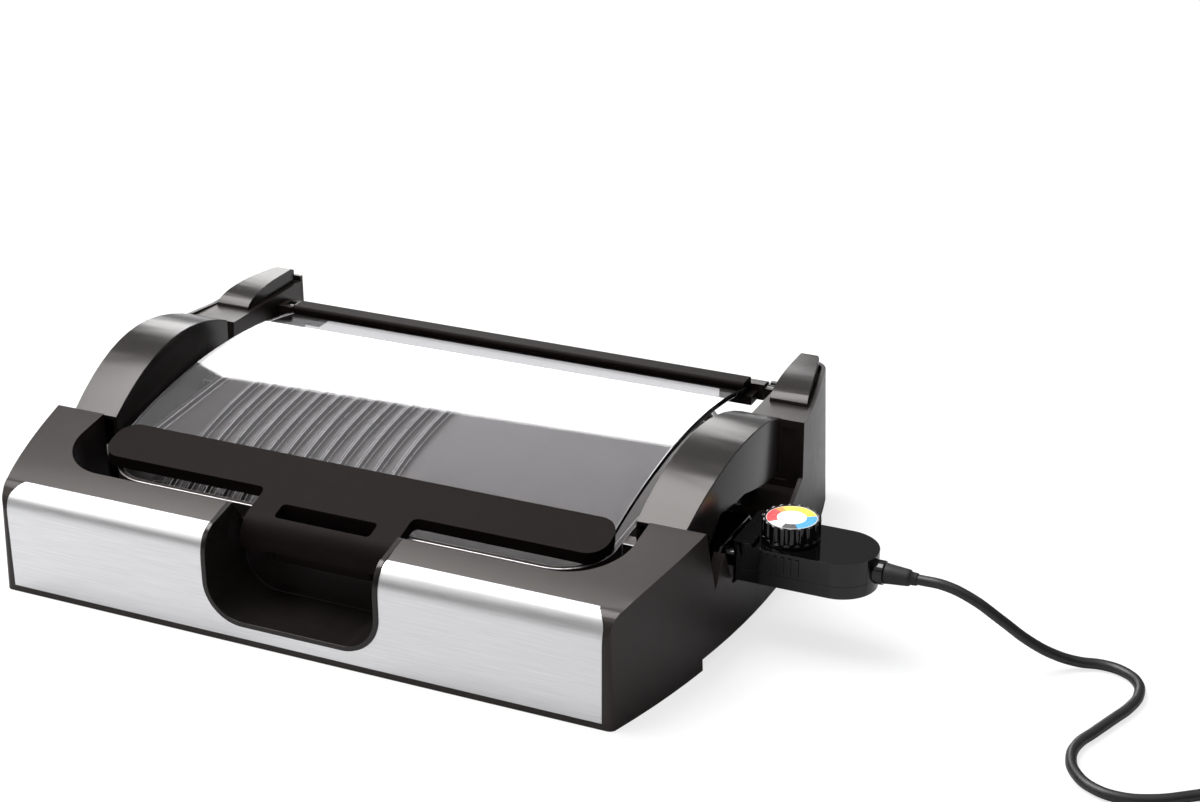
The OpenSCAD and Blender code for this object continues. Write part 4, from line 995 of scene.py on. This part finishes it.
    def plug(self) -> bpy.types.Object:
        """Makes the moulded plug, waisted for the fingers.

        Returns:
            The piece.
        """
        low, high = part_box("plug_body")
        middle = (low + high) / 2 / MM
        half = (high - low) / 2 / MM
        rings = []
        for along, wide, tall in self.plug_sections:
            ring = []
            for k in range(self.plug_sides):
                angle = 2 * math.pi * k / self.plug_sides
                across, up = (
                    math.copysign(abs(share) ** self.plug_squareness, share)
                    for share in (math.cos(angle), math.sin(angle))
                )
                x, z = middle.x - half.x * wide * across, middle.z + half.z * tall * up
                ring.append((x, high.y / MM - along, z))
            rings.append(ring)
        skin = loft(rings, True, True)
        return self.piece("moulded_plug", skin, FINISHES.silicone, "rubber", ["plug_body"])


# --------------------------------------------------------------------------- base


@dataclass
class Base:
    """The moulded base, its steel front, its posts and its feet."""

    sides: tuple[str, str] = ("left", "right")

    def build(self) -> None:
        """Dresses the base's nodes."""
        dress("base_shell", FINISHES.satin_abs, Edge.MOULDED)
        dress("tray_frame", FINISHES.satin_abs, Edge.CRISP)
        dress("handle_pocket", FINISHES.smooth_abs, Edge.CRISP)
        dress("front_panel", FINISHES.brushed_steel, Edge.STAMPED)
        dress("base_screws", FINISHES.zinc, Edge.STAMPED)
        for side in self.sides:
            dress(f"rear_post_{side}", FINISHES.satin_abs, Edge.MOULDED)
            dress(f"post_cap_{side}", FINISHES.smooth_abs, Edge.SOFT)
            dress(f"hinge_socket_{side}", FINISHES.satin_abs, Edge.CRISP)
            dress_all([f"foot_front_{side}", f"foot_rear_{side}"], FINISHES.silicone, Edge.CRISP)


# --------------------------------------------------------------------------- drip tray


@dataclass
class DripTray(Maker):
    """The drawn steel tray with its embossed floor."""

    body: str = "tray"
    end_bulge: float = 35.0
    corner_radius: float = 24.0
    sheet: float = 1.0
    emboss_height: float = 2.2
    emboss_radius: float = 9.0
    # The fields' inset from the tray's ends and long edges
    emboss_inset: tuple[float, float] = (53.0, 29.0)
    # A side field's inner corner from the middle, then its bend and its end from the outer corner
    side_corner: tuple[float, float] = (52.0, 30.0)
    side_bend: tuple[float, float] = (32.0, 18.0)
    side_end: float = 20.0
    # An end field's inner corner from the middle, and its outer one from the outer corner
    end_corner: tuple[float, float] = (28.0, 38.0)
    end_cut: float = 60.0
    # Points round a quarter of the outline: the end and the straight edge, then the corner
    edge_points: int = 24
    corner_points: int = 16
    # Inset from the rim's edge and drop below the rim's top, down the wall
    wall: tuple[tuple[float, float], ...] = (
        (0.0, 1.9), (0.05, 0.9), (0.4, 0.25), (1.2, 0.0), (6.0, 0.0), (7.4, 0.25), (8.6, 1.1),
        (9.5, 2.6), (12.0, 9.0), (13.6, 12.8), (15.2, 14.8), (17.5, 16.2), (21.0, 17.0),
    )
    # Distance outside a field and share of its height, up its slope
    slope: tuple[tuple[float, float], ...] = (
        (3.6, -0.15), (3.2, 0.04), (2.6, 0.2), (1.0, 0.8), (0.4, 0.96), (0.0, 1.0),
    )

    def build(self) -> None:
        """Makes the tray."""
        low, high = (tuple(c / MM for c in corner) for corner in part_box("drip_tray"))
        self.half_width = (high[0] - low[0]) / 2
        self.depth = high[1] - low[1]
        self.rim_height = high[2]
        self.middle = low[1] + self.depth / 2
        skin = loft([self.ring(inset, drop) for inset, drop in self.wall], False, True)
        tray = self.piece("drawn_tray", skin, FINISHES.tray_coat, "tray_coat", ["drip_tray"])
        # The sheet's outer side takes the darker copy of the coat, painted shade
        tray.data.materials.append(FINISHES.tray_outside_shade.build())
        thickness = tray.modifiers.new("sheet", "SOLIDIFY")
        thickness.material_offset = 1
        thickness.thickness = self.sheet * MM
        thickness.offset = -1.0
        points: list[Point] = []
        faces: list[list[int]] = []
        for outline in self.fields():
            field_points, field_faces = loft(self.field(outline), True, True)
            faces.extend([i + len(points) for i in face] for face in field_faces)
            points.extend(field_points)
        self.piece("embossed_fields", (points, faces), FINISHES.tray_coat, "tray_coat")

    def fields(self) -> list[list[tuple[float, float]]]:
        """Gives the four embossed fields, which leave a cross of channels between them.

        Returns:
            Their outlines round the tray's middle, anticlockwise.
        """
        x = self.half_width - self.emboss_inset[0]
        y = self.depth / 2 - self.emboss_inset[1]
        bend_x, bend_y = self.side_bend
        upper = [(x, y - self.side_end), (x - bend_x, y - bend_y), self.side_corner]
        side = [*((a, -b) for a, b in reversed(upper)), *upper]
        inner_x, inner_y = self.end_corner
        outer_x = x - self.end_cut
        end = [(outer_x, y), (-outer_x, y), (-inner_x, inner_y), (inner_x, inner_y)]
        return [side, [(-a, -b) for a, b in side], end, [(-a, -b) for a, b in end]]

    def field(self, outline: list[tuple[float, float]]) -> list[Ring]:
        """Gives the slope round a field.

        Args:
            outline: the field's corners.

        Returns:
            Rings of points from the floor up.
        """
        floor = self.rim_height - self.wall[-1][1]
        return [
            [
                (x, self.middle + y, floor + share * self.emboss_height)
                for x, y in rounded(outline, self.emboss_radius, out)
            ]
            for out, share in self.slope
        ]

    def ring(self, inset: float, drop: float) -> Ring:
        """The tray's outline, drawn in.

        Args:
            inset: how far the outline is drawn in.
            drop: how far below the rim's top it lies.

        Returns:
            Its points, anticlockwise.
        """
        half_depth = self.depth / 2
        end_radius = (half_depth**2 + self.end_bulge**2) / (2 * self.end_bulge)
        arc_middle = end_radius - self.half_width
        reach = half_depth - self.corner_radius
        core_radius = end_radius - self.corner_radius
        turn = math.asin(reach / core_radius)
        corner_x = core_radius * math.cos(turn) - arc_middle
        out = self.corner_radius - inset
        quarter = []
        # Half of the bulging end, the corner, and half of the straight edge
        for i in range(self.edge_points):
            angle = turn * i / self.edge_points
            radius = core_radius + out
            quarter.append((radius * math.cos(angle) - arc_middle, radius * math.sin(angle)))
        for i in range(self.corner_points):
            angle = turn + (math.pi / 2 - turn) * i / (self.corner_points - 1)
            quarter.append((corner_x + out * math.cos(angle), reach + out * math.sin(angle)))
        for i in range(1, self.edge_points):
            quarter.append((corner_x * (1 - i / self.edge_points), reach + out))
        height = self.rim_height - drop
        mirrored = [(-x, y) for x, y in reversed(quarter[1:])]
        half = [*quarter, (0.0, reach + out), *mirrored]
        # The second half is the first turned about the middle
        full = [*half, (-self.half_width + inset, 0.0), *[(x, -y) for x, y in reversed(half[1:])]]
        return [(x, self.middle + y, height) for x, y in full]


# --------------------------------------------------------------------------- plate


@dataclass
class Plate:
    """The cast plate, its element, its handles and the socket on its right."""

    def build(self) -> None:
        """Dresses the plate's nodes."""
        # The plate's pale rounded edges are a painted highlight
        dress("grill_plate", FINISHES.plate_coat, Edge.HIGHLIGHT_BEVEL, FINISHES.plate_edge_highlight, full=True)
        dress("heating_element", FINISHES.sheath, Edge.CLEAN)
        dress_all(["element_clips", "handle_screws"], FINISHES.zinc, Edge.STAMPED)
        dress_all(["handle_left", "handle_right"], FINISHES.smooth_abs, Edge.MOULDED)
        dress("socket_shroud", FINISHES.gloss_abs, Edge.CRISP, full=True)
        dress("terminal_block", FINISHES.steatite, Edge.CRISP)
        dress("terminal_pins", FINISHES.plated, Edge.CRISP)


# --------------------------------------------------------------------------- lid


@dataclass
class Lid(Maker):
    """The curved glass with its two bars and its hinge."""

    body: str = "lid"
    glass_radius: float = 455.0
    glass_thickness: float = 4.0
    glass_top_y: float = 225.0
    glass_columns: int = 24
    glass_rows: int = 72
    glass_edge: float = 1.2
    glass_edge_angle: float = 40.0

    def build(self) -> None:
        """Makes the glass and dresses the rest."""
        self.glass()
        dress("lid_front_bar", FINISHES.matt_abs, Edge.MOULDED)
        dress("finger_tub", FINISHES.matt_abs, Edge.CRISP)
        dress("lid_rear_bar", FINISHES.matt_abs, Edge.MOULDED)
        for side in ("left", "right"):
            dress(f"hinge_arm_{side}", FINISHES.satin_abs, Edge.CRISP)
            dress(f"hinge_pin_{side}", FINISHES.gloss_abs, Edge.CRISP)
        dress("lid_bumpers", FINISHES.silicone, Edge.CRISP)
        dress("lid_screws", FINISHES.zinc, Edge.STAMPED)

    def glass(self) -> None:
        """Makes the bent sheet of glass with ground edges."""
        low, high = (tuple(c / MM for c in corner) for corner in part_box("lid_glass"))
        centre_z = high[2] - self.glass_radius
        first = math.asin((low[1] - self.glass_top_y) / self.glass_radius)
        last = math.asin((high[1] - self.glass_top_y) / self.glass_radius)
        columns, rows = self.glass_columns, self.glass_rows
        points: list[Point] = []
        for radius in (self.glass_radius, self.glass_radius - self.glass_thickness):
            for i in range(rows + 1):
                angle = first + (last - first) * i / rows
                y = self.glass_top_y + radius * math.sin(angle)
                z = centre_z + radius * math.cos(angle)
                points.extend(
                    (low[0] + (high[0] - low[0]) * k / columns, y, z) for k in range(columns + 1)
                )
        wide = columns + 1
        under = (rows + 1) * wide
        faces: list[list[int]] = []
        for i in range(rows):
            for k in range(columns):
                a = i * wide + k
                faces.append([a, a + 1, a + wide + 1, a + wide])
                faces.append([under + a, under + a + wide, under + a + wide + 1, under + a + 1])
        for i in range(rows):
            start, after = i * wide, (i + 1) * wide
            for a, b in ((start, after), (after + columns, start + columns)):
                faces.append([a, b, under + b, under + a])
        for k in range(columns):
            for a, b in ((k + 1, k), (rows * wide + k, rows * wide + k + 1)):
                faces.append([a, b, under + b, under + a])
        skin = (points, faces)
        sheet = self.piece("bent_glass", skin, FINISHES.glass, "clear_glass", ["lid_glass"])
        edge = sheet.modifiers.new("ground_edge", "BEVEL")
        edge.width = self.glass_edge * MM
        edge.segments = EDGE_STEPS
        edge.limit_method = "ANGLE"
        edge.angle_limit = math.radians(self.glass_edge_angle)
        edge.harden_normals = True


# --------------------------------------------------------------------------- thermostat


@dataclass
class Thermostat:
    """The plug-in thermostat with its probe and its knob."""

    def build(self) -> None:
        """Dresses the thermostat's nodes."""
        cases = ["thermostat_lower_case", "thermostat_upper_case"]
        dress_all(cases, FINISHES.gloss_abs, Edge.MOULDED)
        dress("prong_sleeves", FINISHES.gloss_abs, Edge.CRISP)
        dress_all(["contact_tubes", "probe"], FINISHES.plated, Edge.STAMPED)
        dress_all(["probe_bush", "switch_block"], FINISHES.steatite, Edge.CRISP)
        dress("case_screws", FINISHES.zinc, Edge.STAMPED)
        dress("cord_collar", FINISHES.gloss_abs, Edge.CRISP)
        dress("knob", FINISHES.gloss_abs, Edge.CRISP, full=True)
        dress("knob_shaft", FINISHES.plated, Edge.STAMPED)
        dress("dial_disc", FINISHES.dial, Edge.CLEAN)


# --------------------------------------------------------------------------- all


def main() -> None:
    """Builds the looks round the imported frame."""
    logging.basicConfig(level=logging.INFO, format="%(name)s: %(message)s")
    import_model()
    bpy.context.scene.view_settings.view_transform = "Standard"
    Stage().build()
    for part in (Lead(), Base(), DripTray(), Plate(), Lid(), Thermostat()):
        LOG.info("building %s", type(part).__name__)
        part.build()


if __name__ == "__main__":
    main()
